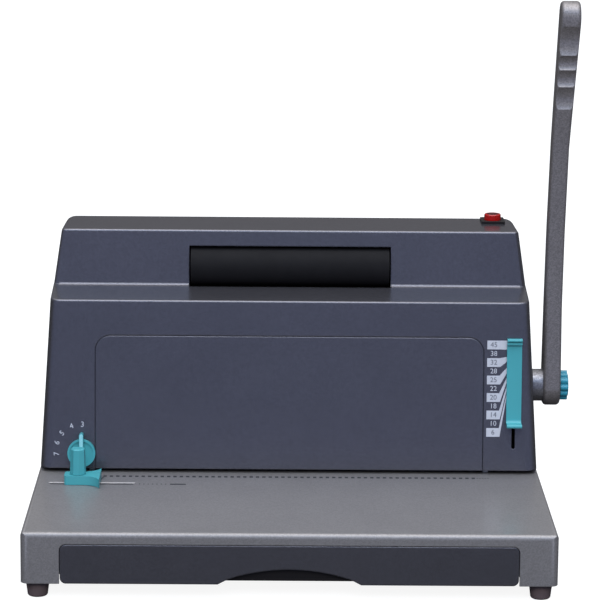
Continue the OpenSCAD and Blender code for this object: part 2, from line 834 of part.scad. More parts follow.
module main_shaft() {
    color(STEEL) place() {
        difference() {
            rod_x(-ring_x - 6, boss_x, shaft_y, shaft_z, shaft_d);
            ring_spots() rod_x(-ring_t / 2, ring_t / 2, shaft_y, shaft_z, shaft_d + 2);
        }
        // bottom of the grooves for the retaining rings
        ring_spots() rod_x(-ring_t, ring_t, shaft_y, shaft_z, shaft_d - 1.6);
        box(boss_x - EPS, lever_x + lever_w, shaft_y - square_w / 2, shaft_y + square_w / 2,
            shaft_z - square_w / 2, shaft_z + square_w / 2);
        rod_x(lever_x + lever_w - EPS, knob_x + knob_t - 1.5, shaft_y, shaft_z, stud_d);
    }
}

module ring_spots() {
    both_sides() translate([ring_x, 0, 0]) children();
}

// Open retaining rings in the shaft's grooves, outside the bushes.
module shaft_rings() {
    color(STEEL) place() ring_spots() difference() {
        rod_x(-ring_t / 2, ring_t / 2, shaft_y, shaft_z, shaft_d + 5);
        rod_x(-1, 1, shaft_y, shaft_z, shaft_d - 1.6);
        box(-1, 1, shaft_y - 2, shaft_y + 2, shaft_z, shaft_z + shaft_d);
    }
}

// One flank of an involute tooth, from the root to the tip.
function involute_angle(r, rb) = r > rb ? sqrt(pow(r / rb, 2) - 1) * 180 / PI - acos(rb / r) : 0;

module pinion_profile() {
    rb = pitch_r * cos(pressure);
    rt = pitch_r + tooth_add;
    rr = pitch_r - tooth_ded;
    // half the tooth's angle at the pitch circle, less its share of the play
    half = 90 / tooth_count - tooth_play / 2 / pitch_r * 180 / PI;
    spread = half + involute_angle(pitch_r, rb);
    radii = [rr, rb, rb + (rt - rb) / 3, rb + 2 * (rt - rb) / 3, rt];
    turns = [for (r = radii) involute_angle(r, rb)];
    circle(r = rr + EPS);
    for (t = [0:tooth_count - 1]) rotate(180 + t * 360 / tooth_count) polygon(concat(
        [for (i = [0:4]) radii[i] * [cos(spread - turns[i]), sin(spread - turns[i])]],
        [for (i = [4:-1:0]) radii[i] * [cos(spread - turns[i]), -sin(spread - turns[i])]],
        [[rr - 1, 0]]
    ));
}

module pinions() {
    color(STEEL) place() both_sides() difference() {
        translate([0, shaft_y, shaft_z])
            along_x(rack_x - pinion_w / 2, rack_x + pinion_w / 2) pinion_profile();
        rod_x(rack_x - pinion_w, rack_x + pinion_w, shaft_y, shaft_z, shaft_d);
    }
}

module square_hole(x0, x1) {
    half = square_w / 2;
    box(x0, x1, shaft_y - half, shaft_y + half, shaft_z - half, shaft_z + half);
}

module lever_boss() {
    color(STEEL) place() difference() {
        rod_x(boss_x, lever_x, shaft_y, shaft_z, boss_d);
        square_hole(boss_x - 1, lever_x + 1);
    }
}

// A disc across X with rounded rims, at one of the lever's bends.
module coin(bend) {
    e = lever_rim;
    r = bend[2];
    w = bend[3];
    translate([lever_x + lever_w / 2 + bend[1] * lever_out, shaft_y, shaft_z + bend[0]])
        rotate([0, 90, 0]) translate([0, 0, -w / 2]) rotate_extrude($fn = HULL_FN) {
            translate([0, e]) square([r, w - 2 * e]);
            square([r - e, w]);
            for (z = [e, w - e]) translate([r - e, z]) circle(r = e, $fn = 16);
        }
}

module lever_arm() {
    color(SILVER) place() difference() {
        for (i = [0:len(bends) - 2]) hull() {
            coin(bends[i]);
            coin(bends[i + 1]);
        }
        // finger grooves down the front of the grip
        for (g = grooves)
            rod_x(lever_x - grip_w, lever_x + lever_out + 2 * grip_w,
                shaft_y - grip_body_r + g[2] - g[1], shaft_z + grip_top_up - g[0], 2 * g[1]);
        square_hole(lever_x - 2, lever_x + lever_w + 2);
    }
}

module lever_knob() {
    color(TEAL) place() difference() {
        union() {
            rod_x(knob_x, knob_x + knob_t - 1, shaft_y, shaft_z, knob_d - 3);
            rod_x(knob_x + knob_t - 1 - EPS, knob_x + knob_t, shaft_y, shaft_z, knob_d - 7);
            for (i = [0:knob_lobes - 1]) translate([0, shaft_y, shaft_z]) rotate([i * 360 / knob_lobes, 0, 0])
                rod_x(knob_x, knob_x + knob_t - 0.8, 0, knob_d / 2 - 2.4, 4.8);
        }
        rod_x(knob_x - 1, knob_x + knob_t - 1.2, shaft_y, shaft_z, stud_d + 2 * shaft_play);
    }
}

// ---------- housing ----------

// Four discs on the corners of the housing's plan, their tops at z, for a hull to stretch over.
module slab(half_w, y0, y1, z, rf, rb) {
    for (s = [-1, 1]) {
        translate([s * (half_w - rf), y0 + rf, z]) rim_disc(rf, 0);
        translate([s * (half_w - rb), y1 - rb, z]) rim_disc(rb, 0);
    }
}

// Disc with its upper rim rounded by e, its top at z = 0.
module rim_disc(r, e) {
    if (e == 0) {
        translate([0, 0, -disc_t]) cylinder(r = r, h = disc_t, $fn = HULL_FN);
    } else {
        translate([0, 0, -e]) rotate_extrude($fn = HULL_FN) intersection() {
            union() {
                square([r - e, e]);
                translate([r - e, 0]) circle(r = e, $fn = e > 4 ? 32 : 16);
            }
            square([r, e]);
        }
    }
}

// Lower block of the housing, up to the ledge, drawn in by an inset.
module lower_block(t, rim) {
    rf = face_edge_r - t;
    rb = back_edge_r - t;
    edge_y = ledge_front_y + edge_in(t + rim);
    edge_z = ledge_in(edge_y, t + rim);
    side = side_at(ledge_front_z) - t - rf;
    hull() {
        slab(side_at(top_z) - t, face_in(top_z, t), back_in(top_z, t), top_z, rf, rb);
        slab(side_at(ledge_back_z) - t, ledge_back_y + t, back_in(ledge_back_z, t),
            ledge_in(ledge_back_y + t, t), 1, rb);
        // rounded front edge of the ledge
        for (s = [-1, 1]) translate([s * side, edge_y, edge_z]) rotate([ledge_tilt, 0, 0])
            translate([0, rf - rim, rim]) rim_disc(rf, rim);
    }
}

// Upper block of the housing, from the ledge's back to the top.
module upper_block(t, rim, back_rim) {
    rf = upper_edge_r - t;
    rb = back_edge_r - t;
    z0 = ledge_back_z - t - 0.5;
    z1 = house_z - t;
    front_y = upper_at(z1 - rim) + (t + rim) / cos(upper_lean) + rf - rim;
    back_y = back_in(z1 - back_rim, t + back_rim) - rb + back_rim;
    hull() {
        slab(side_at(ledge_back_z) - t, upper_at(z0) + t / cos(upper_lean), back_in(z0, t), z0, rf, rb);
        for (s = [-1, 1]) {
            translate([s * top_side(t, rim, rf), front_y, z1]) rim_disc(rf, rim);
            translate([s * top_side(t, back_rim, rb), back_y, z1]) rim_disc(rb, back_rim);
        }
    }
}

// The back, drawn in by an inset.
function back_in(z, t) = back_at(z) - t / cos(back_lean);

// Half width of the top at the centre of a corner disc of radius r with a rim.
function top_side(t, rim, r) = side_at(house_z - t - rim) - (t + rim) / cos(side_lean) - r + rim;

module cavity(t) {
    lower_block(t, 0);
    upper_block(t, 0, 0);
}

// X to the right, Z up the leaning back from its foot, Y out of the housing.
module on_back() {
    translate([0, back_foot_y, top_z]) rotate([back_lean, 0, 0]) children();
}

// Outline of the housing's back, drawn in by an inset.
module back_outline(inset) {
    r = 5;
    hull() for (s = [-1, 1]) {
        translate([s * (side_at(top_z) - inset - r), inset + r]) circle(r = r, $fn = HULL_FN);
        translate([s * (side_at(ledge_back_z) - inset - r), ledge_z]) circle(r = r, $fn = HULL_FN);
        translate([s * (side_at(house_z) - inset - r), house_h - inset - r]) circle(r = r, $fn = HULL_FN);
    }
}

module panel_shape(grow) {
    arched(panel_w + 2 * grow, panel_h + grow, panel_r + grow);
}

// Opening of the roller recess, cut square through the upper face and the ledge's back.
module recess_cut() {
    box(-recess_w / 2, recess_w / 2, ledge_back_y - recess_lip, roller_y + 6, recess_z0, recess_z1);
}

module front_cover() {
    color(CHARCOAL) place() {
        difference() {
            union() {
                lower_block(0, rim_r);
                upper_block(0, rim_r, back_rim_r);
            }
            cavity(wall);
            // level foot
            box(-house_w, house_w, -base_front, base_back, top_z - 2, top_z);
            // open at the back inside a narrow rim
            on_back() along_y(-wall - 12, 2) back_outline(rear_rim);
            // paper throat under the leaning face
            box(-house_w, house_w, -base_front, guide_front + 3, top_z - 1, face_z);
            // opening for the front panel
            on_face() along_y(-3, wall + 1) panel_shape(panel_gap);
            on_face() translate([0, 0, -2]) along_y(-3, wall + 1)
                translate([-panel_w / 2 - panel_gap, 0]) square([panel_w + 2 * panel_gap, 3]);
            recess_cut();
            // slot for the gauge slider's pins
            on_face() along_y(-1, wall + 1) {
                translate([gauge_x - gauge_slot_w / 2, gauge_slot_low])
                    square([gauge_slot_w, gauge_slot_high - gauge_slot_low]);
                for (s = [gauge_slot_low, gauge_slot_high]) translate([gauge_x, s]) circle(d = gauge_slot_w);
            }
            // hole for the margin dial's bush
            on_face() translate([-dial_x, -3, dial_s]) rotate([-90, 0, 0]) cylinder(d = bush_d, h = wall + 6);
            // hole for the lever shaft
            rod_x(side_at(shaft_z) - 8, side_at(shaft_z) + 4, shaft_y, shaft_z, shaft_d + 4);
            // cut-out for the power switch
            translate([button_x, button_y, house_z - 6]) linear_extrude(8)
                square([switch_w + 2 * fit_gap, switch_d + 2 * fit_gap], center = true);
            // holes for the rear cover's screws
            on_back() for (p = rear_screw_spots) translate([p[0], 0, p[1]]) rotate([90, 0, 0])
                cylinder(d = rear_screw_d, h = 3 * wall, center = true, $fn = 24);
        }
    }
}

// The front panel fills its opening and bears on the cover from behind with a flange.
module front_panel() {
    flange = 4;
    color(CHARCOAL) place() on_face() {
        along_y(0, wall) panel_shape(0);
        along_y(wall - EPS, wall + seat_gap) panel_shape(-0.2);
        along_y(wall + seat_gap, wall + 1.4) difference() {
            panel_shape(flange);
            translate([0, -1]) panel_shape(-12);
        }
    }
}

module rear_cover() {
    color(CHARCOAL) place() on_back() difference() {
        along_y(0, rear_plate_t) back_outline(plate_inset);
        // louvre slots behind the motor
        for (i = [0:vents - 1]) along_y(-1, 3)
            translate([vent_x + (i - (vents - 1) / 2) * vent_pitch, house_h - 46]) rounded_slot(3, 24);
        translate([inlet_x, 0, inlet_s]) along_y(-1, 3)
            rounded(inlet_w + 2 * fit_gap, inlet_h + 2 * fit_gap, 2);
        for (p = rear_screw_spots) translate([p[0], 0, p[1]]) rotate([90, 0, 0])
            cylinder(d = rear_screw_d + 0.6, h = 8, center = true, $fn = 24);
    }
}

module rounded_slot(w, h) {
    square([w, h - w], center = true);
    for (s = [-1, 1]) translate([0, s * (h - w) / 2]) circle(d = w);
}

module rear_screws() {
    color(STEEL) place() on_back() for (p = rear_screw_spots) translate([p[0], 0, p[1]]) rotate([90, 0, 0]) {
        translate([0, 0, -rear_plate_t - 1.6]) cylinder(d = 6, h = 1.6);
        translate([0, 0, -rear_plate_t - EPS])
            cylinder(d = rear_screw_d, h = rear_plate_t + wall + 4, $fn = 24);
    }
}

// Appliance inlet: flange, socket with three blades, closed back.
module power_inlet() {
    color(BLACK) place() on_back() translate([inlet_x, 0, inlet_s]) {
        difference() {
            union() {
                along_y(-inlet_depth, rear_plate_t) rounded(inlet_w, inlet_h, 2);
                along_y(rear_plate_t, rear_plate_t + 1.5) rounded(inlet_w + 5, inlet_h + 5, 3);
            }
            along_y(-inlet_depth + 4, rear_plate_t + 3) rounded(inlet_w - 3.5, inlet_h - 4, 1.5);
        }
        for (p = [[-7, -1.5], [0, 2.5], [7, -1.5]])
            along_y(-inlet_depth + 3, -3.5) translate(p) square([2, 4], center = true);
    }
}

// ---------- coil roller ----------

module roller_trough() {
    x1 = recess_w / 2 + trough_t;
    y1 = roller_y + roller_d / 2 + 2.5;
    color(BLACK) place() difference() {
        intersection() {
            cavity(wall + fit_gap);
            box(-x1, x1, ledge_back_y - recess_lip - 2, y1 + trough_t,
                recess_z0 - trough_t, recess_z1 + trough_t + 0.4);
        }
        box(-recess_w / 2, recess_w / 2, ledge_back_y - recess_lip - 5, y1, recess_z0, recess_z1);
        rod_x(-x1 - 1, x1 + 1, roller_y, roller_z, bearing_d);
    }
}

module roller_bearings() {
    x0 = recess_w / 2;
    color(STEEL) place() both_sides() difference() {
        union() {
            rod_x(x0, x0 + trough_t, roller_y, roller_z, bearing_d);
            rod_x(x0 + trough_t, x0 + trough_t + 3, roller_y, roller_z, bearing_d + 1.5);
        }
        rod_x(x0 - 1, x0 + trough_t + 4, roller_y, roller_z, roller_shaft_d + 2 * shaft_play);
    }
}

module roller_shaft() {
    color(STEEL) place() {
        rod_x(-recess_w / 2 - trough_t - 5, pulley_x + pulley_w / 2 + 1, roller_y, roller_z, roller_shaft_d);
        rod_x(-roller_len / 2 + 1, roller_len / 2 - 1, roller_y, roller_z, core_d);
    }
}

module roller_sleeve() {
    color(BLACK) place() difference() {
        rod_x(-roller_len / 2, roller_len / 2, roller_y, roller_z, roller_d);
        rod_x(-roller_len / 2 - 1, roller_len / 2 + 1, roller_y, roller_z, core_d);
    }
}

// Flat pulley with a shallow rim at both sides.
module flat_pulley(y, z, d, bore) {
    difference() {
        union() {
            rod_x(pulley_x - pulley_w / 2, pulley_x + pulley_w / 2, y, z, d);
            for (x = [-pulley_w / 2 - 1, pulley_w / 2])
                rod_x(pulley_x + x, pulley_x + x + 1, y, z, d + 2 * pulley_rim);
        }
        rod_x(pulley_x - pulley_w, pulley_x + pulley_w, y, z, bore);
    }
}

module roller_pulley() {
    color(BLACK) place() flat_pulley(roller_y, roller_z, roller_pulley_d, roller_shaft_d);
}

module motor_pulley() {
    color(BRASS) place() flat_pulley(motor_y, roller_z, motor_pulley_d, motor_shaft_d);
}

// Outline of a loop round both pulleys, grown by g.
module belt_outline(g) {
    hull() {
        translate([roller_y, roller_z]) circle(r = roller_pulley_d / 2 + g, $fn = 48);
        translate([motor_y, roller_z]) circle(r = motor_pulley_d / 2 + g, $fn = 48);
    }
}

module drive_belt() {
    color(BLACK) place() along_x(pulley_x - pulley_w / 2 + 0.5, pulley_x + pulley_w / 2 - 0.5) difference() {
        belt_outline(belt_gap + belt_t);
        belt_outline(belt_gap);
    }
}

module motor() {
    color(STEEL) place() difference() {
        union() {
            rod_x(motor_x, motor_x + motor_len, motor_y, roller_z, motor_d);
            rod_x(motor_x + motor_len - EPS, motor_x + motor_len + 2, motor_y, roller_z, 12);
            // nose that seats in the bracket
            rod_x(motor_x - bracket_t, motor_x + EPS, motor_y, roller_z, motor_nose_d);
        }
        rod_x(motor_x - bracket_t - 1, motor_x + 15, motor_y, roller_z, motor_shaft_d + 2 * shaft_play);
    }
}

module motor_shaft() {
    color(STEEL) place()
        rod_x(pulley_x - pulley_w / 2 - 2, motor_x + 14, motor_y, roller_z, motor_shaft_d);
}

// Angle that hangs the motor from the housing's top.
module motor_bracket() {
    x0 = motor_x - bracket_t;
    y0 = motor_y - motor_d / 2;
    y1 = motor_y + motor_d / 2;
    z1 = house_z - wall;
    color(STEEL) place() difference() {
        union() {
            box(x0, motor_x, y0, y1, roller_z - motor_d / 2, z1);
            box(x0, motor_x + 14, y0, y1, z1 - bracket_t, z1);
        }
        rod_x(x0 - 1, motor_x + 1, motor_y, roller_z, motor_nose_d);
    }
}

// ---------- power switch ----------

module switch_bezel() {
    color(BLACK) place() translate([button_x, button_y, 0]) difference() {
        union() {
            translate([0, 0, house_z]) linear_extrude(bezel_t) rounded(bezel_w, bezel_d, 1.5);
            translate([0, 0, house_z - 5]) linear_extrude(5 + EPS) rounded(switch_w, switch_d, 1);
        }
        translate([0, 0, house_z - 6]) cylinder(d = button_d + 2 * slide_gap, h = 12);
    }
}

module switch_body() {
    color(BLACK) place() translate([button_x, button_y, 0]) difference() {
        translate([0, 0, house_z - 27]) linear_extrude(22) rounded(switch_w, switch_d, 1);
        translate([0, 0, house_z - 16]) cylinder(d = 6.6, h = 12);
    }
}

// Slightly dished round cap on a stem.
module power_button() {
    top = house_z + bezel_t + button_h;
    color("red") place() translate([button_x, button_y, 0]) {
        difference() {
            union() {
                translate([0, 0, house_z - 2]) cylinder(d = button_d, h = top - house_z + 1.2);
                translate([0, 0, top - 0.8 - EPS]) cylinder(d1 = button_d, d2 = button_d - 1.6, h = 0.8);
            }
            translate([0, 0, top + 38]) sphere(r = 38.5, $fn = 128);
        }
        translate([0, 0, house_z - 12]) cylinder(d = 6, h = 11);
    }
}

// ---------- margin control ----------

module on_dial() {
    on_face() translate([-dial_x, 0, dial_s]) children();
}

module margin_dial() {
    color(TEAL) place() on_dial() difference() {
        union() {
            rotate([90, 0, 0]) translate([0, 0, dial_out]) {
                cylinder(d = dial_d, h = dial_t);
                difference() {
                    cylinder(d = dial_d, h = dial_t + 1);
                    translate([0, 0, dial_t - EPS]) cylinder(d = dial_d - 3.4, h = 2);
                }
            }
            // finger rib, which is the pointer too
            along_y(-dial_out - dial_t - 4.5, -dial_out) {
                translate([-1.7, -dial_d / 2 + 2]) square([3.4, pointer_len - 1.7 + dial_d / 2 - 2]);
                translate([0, pointer_len - 1.7]) circle(r = 1.7);
            }
        }
        rotate([90, 0, 0]) cylinder(d = dial_shaft_d, h = dial_out + dial_t - 0.5);
    }
}

module dial_bush() {
    color(BRASS) place() on_dial() rotate([-90, 0, 0]) difference() {
        union() {
            cylinder(d = bush_d, h = wall + 1);
            translate([0, 0, wall + seat_gap]) cylinder(d = bush_d + 1, h = 4);
        }
        translate([0, 0, -1]) cylinder(d = dial_shaft_d + 2 * shaft_play, h = wall + 6);
    }
}

// Height of the face cam at an angle, one quarter turn for the full margin.
function cam_rise(a) = margin_travel / cos(face_lean) * (90 - a) / 90;

// Ring that climbs like a screw from the quarter's end back to its start.
module cam_ramp() {
    steps = 12;
    first = -18;
    points = [
        for (i = [0:steps]) let (a = first + (90 - first) * i / steps, h = cam_plate + cam_rise(a))
            each [for (q = [[cam_inner_r, 1], [cam_ring_r, 1], [cam_ring_r, h], [cam_inner_r, h]])
                [q[0] * cos(a), -q[0] * sin(a), q[1]]]
    ];
    sides = [
        for (i = [0:steps - 1], k = [0:3]) let (p = 4 * i + k, q = 4 * i + (k + 1) % 4)
            each [[p, p + 4, q + 4], [p, q + 4, q]]
    ];
    last = 4 * steps;
    polyhedron(points, concat(sides, [[0, 1, 2, 3], [last + 3, last + 2, last + 1, last]]));
}

module dial_cam() {
    color(STEEL) place() on_dial() rotate([-90, 0, 0]) {
        translate([0, 0, -dial_out - dial_t + 0.5]) cylinder(d = dial_shaft_d, h = cam_y + dial_out + dial_t);
        translate([0, 0, cam_y]) cylinder(r = cam_r, h = cam_plate);
        translate([0, 0, wall + 4.4]) cylinder(d = dial_shaft_d + 3, h = 1.2);
        translate([0, 0, cam_y]) cam_ramp();
    }
}

module margin_stop() {
    z0 = top_z + slide_gap;
    z1 = top_z + throat_h - slide_gap;
    x0 = -dial_x - stop_tab_half;
    x1 = -dial_x + stop_tab_half;
    color(STEEL) place() {
        // bar with its arm through the frame's window
        box(x0, stop_bar_half, stop_front_y, stop_front_y + stop_bar_d, z0, z1);
        both_sides() box(stop_tail_x - stop_tail_w / 2, stop_tail_x + stop_tail_w / 2,
            stop_front_y, stop_tail_y + 12, z0, z1);
        // tab behind the cam, with the nub that the cam pushes
        box(x0, x1, stop_front_y, stop_tab_y + stop_tab_t, z0, z1);
        box(x0, x1, stop_tab_y, stop_tab_y + stop_tab_t, z0, cam_axis_z + cam_nub_r + 2);
        translate([-dial_x, stop_tab_y + EPS, cam_axis_z + cam_nub_r]) rotate([90, 0, 0])
            cylinder(d = 2.2, h = nub_len, $fn = 24);
    }
}

// Saddles on the base that hold the stop's tails down.
module stop_guides() {
    gap_half = stop_tail_w / 2 + slide_gap;
    color(STEEL) place() both_sides() difference() {
        box(stop_tail_x - gap_half - 4, stop_tail_x + gap_half + 4, stop_tail_y, stop_tail_y + 10,
            top_z, top_z + throat_h + 2);
        box(stop_tail_x - gap_half, stop_tail_x + gap_half, stop_tail_y - 1, stop_tail_y + 11,
            top_z - 1, top_z + throat_h);
    }
}

// ---------- side stop ----------

// Plan of the side stop's block: a bar that flares out into a fish tail.
module stop_plan() {
    x0 = -stop_x - 10.5;
    x1 = -stop_x + 17.3;
    flare_x = -stop_x + 4;
    run = x1 - flare_x;
    rise = stop_tail - stop_body;
    flare_r = (run * run + rise * rise) / (2 * rise);
    translate([0, stop_slot_y]) {
        translate([(x0 + flare_x) / 2, 0]) rounded(flare_x - x0, 2 * stop_body, 2.5);
        difference() {
            translate([flare_x - 3, -stop_tail]) square([x1 - flare_x + 3, 2 * stop_tail]);
            for (s = [-1, 1]) {
                translate([flare_x, s * (stop_body + flare_r)]) circle(r = flare_r, $fn = 128);
                translate([flare_x - 4, s > 0 ? stop_body : -stop_tail - 1]) square([4, rise + 1]);
            }
        }
    }
}

module side_stop_block() {
    color(TEAL) place() difference() {
        union() {
            translate([0, 0, top_z + 0.2]) linear_extrude(stop_h) stop_plan();
            translate([-stop_x, stop_slot_y, top_z - base_t - 0.1])
                cylinder(d = stop_slot_w - 0.7, h = base_t + 1);
        }
        translate([-stop_x, stop_slot_y, top_z - 10]) cylinder(d = stop_screw_d + 2 * shaft_play, h = 30);
    }
}

// Plate under the base's top with the stud that the knob screws down on.
module side_stop_plate() {
    color(STEEL) place() translate([-stop_x, stop_slot_y, 0]) {
        translate([0, 0, top_z - base_t - 2.1]) linear_extrude(1.9) rounded(18, 14, 3);
        translate([0, 0, top_z - base_t - 4.2]) cylinder(d = 6, h = 2.2, $fn = 6);
        translate([0, 0, top_z - base_t - 3])
            cylinder(d = stop_screw_d, h = base_t + 3 + stop_h + stud_grip);
    }
}

module side_stop_knob() {
    color(TEAL) place() translate([-stop_x, stop_slot_y, top_z + stop_h + 0.5]) difference() {
        rotate(12) {
            cylinder(d1 = stop_knob_d * 1.04, d2 = stop_knob_d * 0.94, h = stop_knob_h - 0.8, $fn = 8);
            translate([0, 0, stop_knob_h - 0.8])
                cylinder(d1 = stop_knob_d * 0.94, d2 = stop_knob_d * 0.94 - 1.4, h = 0.8, $fn = 8);
        }
        translate([0, 0, -1]) cylinder(d = stop_screw_d + 2 * shaft_play, h = stud_grip + 1);
    }
}

// ---------- thickness gauge ----------

// Side profile of the gauge slider: a strip with a foot that comes down on the
// sheets, hollow above it, and two thumb ridges at its top.
module gauge_profile() {
    top = gauge_s + gauge_len;
    reach = gauge_foot - gauge_foot_t / 2;
    translate([-gauge_t, gauge_s]) square([gauge_t, gauge_len]);
    translate([-reach, gauge_s]) square([reach - EPS, gauge_foot_t]);
    translate([-reach, gauge_s + gauge_foot_t / 2]) circle(d = gauge_foot_t, $fn = 32);
    translate([-gauge_t, gauge_s + gauge_foot_t]) difference() {
        translate([-gauge_fillet, -EPS]) square([gauge_fillet + EPS, gauge_fillet + EPS]);
        translate([-gauge_fillet, gauge_fillet]) circle(r = gauge_fillet);
    }
    for (ridge = [[6, 1.3], [4.6, 4.1]]) {
        translate([-ridge[0] + 1.3, top - ridge[1] - 1.3]) square([ridge[0] - 1.3 - EPS, 2.6]);
        translate([-ridge[0] + 1.3, top - ridge[1]]) circle(r = 1.3, $fn = 32);
    }
}

module gauge_slider() {
    color(TEAL) place() on_face() translate([0, -slide_gap, 0])
        along_x(gauge_x - gauge_w / 2, gauge_x + gauge_w / 2) gauge_profile();
}

module gauge_clip() {
    color(STEEL) place() on_face() {
        translate([gauge_x, 0, 0]) along_y(wall + slide_gap, wall + slide_gap + 1.5)
            translate([-5, gauge_pin_low - 6]) square([10, gauge_pin_high - gauge_pin_low + 12]);
        for (s = [gauge_pin_low, gauge_pin_high]) translate([gauge_x, -slide_gap, s]) rotate([-90, 0, 0])
            cylinder(d = gauge_pin_d, h = wall + 2 * slide_gap + EPS, $fn = 24);
    }
}

// ---------- assembly ----------

base_pan();
bottom_plate();
feet();
foot_screws();
drawer_runners();
drawer_tray();
drawer_front();
die_plate();
punch_guide();
punch_pins();
punch_bar();
racks();
rack_screws();
return_springs();
frame_plate_left();
frame_plate_right();
tie_rods();
shaft_bushes();
main_shaft();
pinions();
shaft_rings();
lever_boss();
lever_arm();
lever_knob();
front_cover();
front_panel();
rear_cover();
rear_screws();
roller_trough();
roller_bearings();
roller_shaft();
roller_sleeve();
roller_pulley();
drive_belt();
motor();
motor_bracket();
motor_shaft();
motor_pulley();
switch_bezel();
switch_body();
power_button();
power_inlet();
margin_dial();
dial_bush();
dial_cam();
margin_stop();
stop_guides();
side_stop_block();
side_stop_plate();
side_stop_knob();
gauge_slider();
gauge_clip();
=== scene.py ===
"""Finishes, printed marks and studio for a desktop punch-and-coil binding machine.

Lengths are millimetres in the machine's own frame: X towards the lever, Y to the
back from the row of hole marks, Z up from the table. Frame.point turns such a
place into metres round the part's origin.
"""
from __future__ import annotations

import logging
import math
from dataclasses import dataclass, field
from enum import Enum

import bmesh
import bpy
from mathutils import Matrix, Vector
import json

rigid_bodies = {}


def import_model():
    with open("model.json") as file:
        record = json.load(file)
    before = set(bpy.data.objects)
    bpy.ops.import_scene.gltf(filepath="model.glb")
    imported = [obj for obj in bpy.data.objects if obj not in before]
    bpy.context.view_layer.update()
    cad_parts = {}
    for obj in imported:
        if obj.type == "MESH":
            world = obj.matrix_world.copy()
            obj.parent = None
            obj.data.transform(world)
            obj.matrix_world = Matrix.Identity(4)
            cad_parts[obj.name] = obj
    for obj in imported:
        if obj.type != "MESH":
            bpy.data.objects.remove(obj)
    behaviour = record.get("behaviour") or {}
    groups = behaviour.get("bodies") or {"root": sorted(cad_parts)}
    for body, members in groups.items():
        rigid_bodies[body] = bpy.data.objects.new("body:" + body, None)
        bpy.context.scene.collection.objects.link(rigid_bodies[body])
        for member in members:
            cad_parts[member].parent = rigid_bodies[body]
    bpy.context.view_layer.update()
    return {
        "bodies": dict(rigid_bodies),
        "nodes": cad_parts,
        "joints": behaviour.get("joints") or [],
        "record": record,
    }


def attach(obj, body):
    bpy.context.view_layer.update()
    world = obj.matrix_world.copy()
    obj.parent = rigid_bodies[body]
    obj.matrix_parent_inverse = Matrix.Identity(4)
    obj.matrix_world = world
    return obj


LOG = logging.getLogger("binding_machine")
MM = 0.001
# Height of a print above its face, and depth of its plates inside the face, in mm
PRINT_HEIGHT = 0.05
PRINT_DEPTH = 0.1
# Height of a figure as a share of its font's size
FIGURE_SHARE = 0.7
# Corners of a figure that lie closer than this are one corner, in metres
SAME_CORNER = 1e-7
# Parts of a noise's range that nearly all of its values lie in
NOISE_SPAN = (0.3, 0.7)
STREAK_SPAN = (0.35, 0.65)
# Centre of the margin dial on the front face, in mm
DIAL_CENTRE = (-163.9, 12.4)

Pair = tuple[float, float]
Triple = tuple[float, float, float]
Stops = tuple[tuple[float, Triple], ...]
Output = tuple[bpy.types.Node, str]


class Body(str, Enum):
    """Moving bodies that this script's pieces ride on."""

    FRAME = "frame"
    BUTTON = "button"
    DIAL = "dial"
    DRAWER = "drawer"


@dataclass(frozen=True)
class Frame:
    """Place of the part's origin in the machine's own frame, in mm."""

    origin_x: float = 13.3757
    origin_y: float = -5.0

    def point(self, place: Vector) -> Vector:
        """Turn a place in mm into metres round the part's origin.

        Args:
            place: Point in the machine's own frame.

        Returns:
            The same point in the part's frame, in metres.
        """
        return Vector((place.x - self.origin_x, place.y - self.origin_y, place.z)) * MM


@dataclass(frozen=True)
class Plane:
    """A flat face of the machine with its own right, up and outward directions."""

    corner: Vector
    right: Vector
    up: Vector
    out: Vector
    frame: Frame = Frame()

    def at(self, u: float, v: float, height: float = 0.0) -> Vector:
        """Point u to the right, v up the face and height in front of it, in metres."""
        place = self.corner + self.right * u + self.up * v + self.out * height
        return self.frame.point(place)

    def matrix(self, u: float, v: float, turn: float) -> Matrix:
        """Placement of a flat drawing on this face.

        Args:
            u: Distance to the right, in mm.
            v: Distance up the face, in mm.
            turn: Anticlockwise turn of the drawing, in degrees.

        Returns:
            Matrix from the drawing's metres to the part's frame.
        """
        spin = Matrix.Rotation(math.radians(turn), 4, "Z")
        axes = Matrix((self.right, self.up, self.out)).transposed().to_4x4()
        return Matrix.Translation(self.at(u, v)) @ axes @ spin


def leaning_plane(y: float, z: float, lean: float) -> Plane:
    """Make a face that leans back.

    Args:
        y: Place of the face's foot from front to back, in mm.
        z: Height of the face's foot, in mm.
        lean: Angle between the face and a plumb line, in degrees.

    Returns:
        The face.
    """
    angle = math.radians(lean)
    return Plane(
        corner=Vector((0.0, y, z)),
        right=Vector((1.0, 0.0, 0.0)),
        up=Vector((0.0, math.sin(angle), math.cos(angle))),
        out=Vector((0.0, -math.cos(angle), math.sin(angle))),
    )


def level_plane(z: float) -> Plane:
    """Make a level face, whose up direction runs to the back.

    Args:
        z: Height of the face, in mm.

    Returns:
        The face.
    """
    return Plane(
        corner=Vector((0.0, 0.0, z)),
        right=Vector((1.0, 0.0, 0.0)),
        up=Vector((0.0, 1.0, 0.0)),
        out=Vector((0.0, 0.0, 1.0)),
    )


# ---------------------------------------------------------------- colours and nodes


def hex_to_linear(code: str) -> tuple[float, float, float, float]:
    """Turn an sRGB hex colour into linear RGBA.

    Args:
        code: Colour such as "#4a4c5b".

    Returns:
        Linear red, green, blue and an alpha of 1.
    """
    channels = [int(code[i : i + 2], 16) / 255 for i in (1, 3, 5)]
    linear = [c / 12.92 if c <= 0.04045 else ((c + 0.055) / 1.055) ** 2.4 for c in channels]
    return (linear[0], linear[1], linear[2], 1.0)


def scaled(colour: tuple[float, ...], share: float) -> tuple[float, ...]:
    """Multiply a colour's red, green and blue by share; its alpha becomes 1."""
    return tuple(channel * share for channel in colour[:3]) + (1.0,)


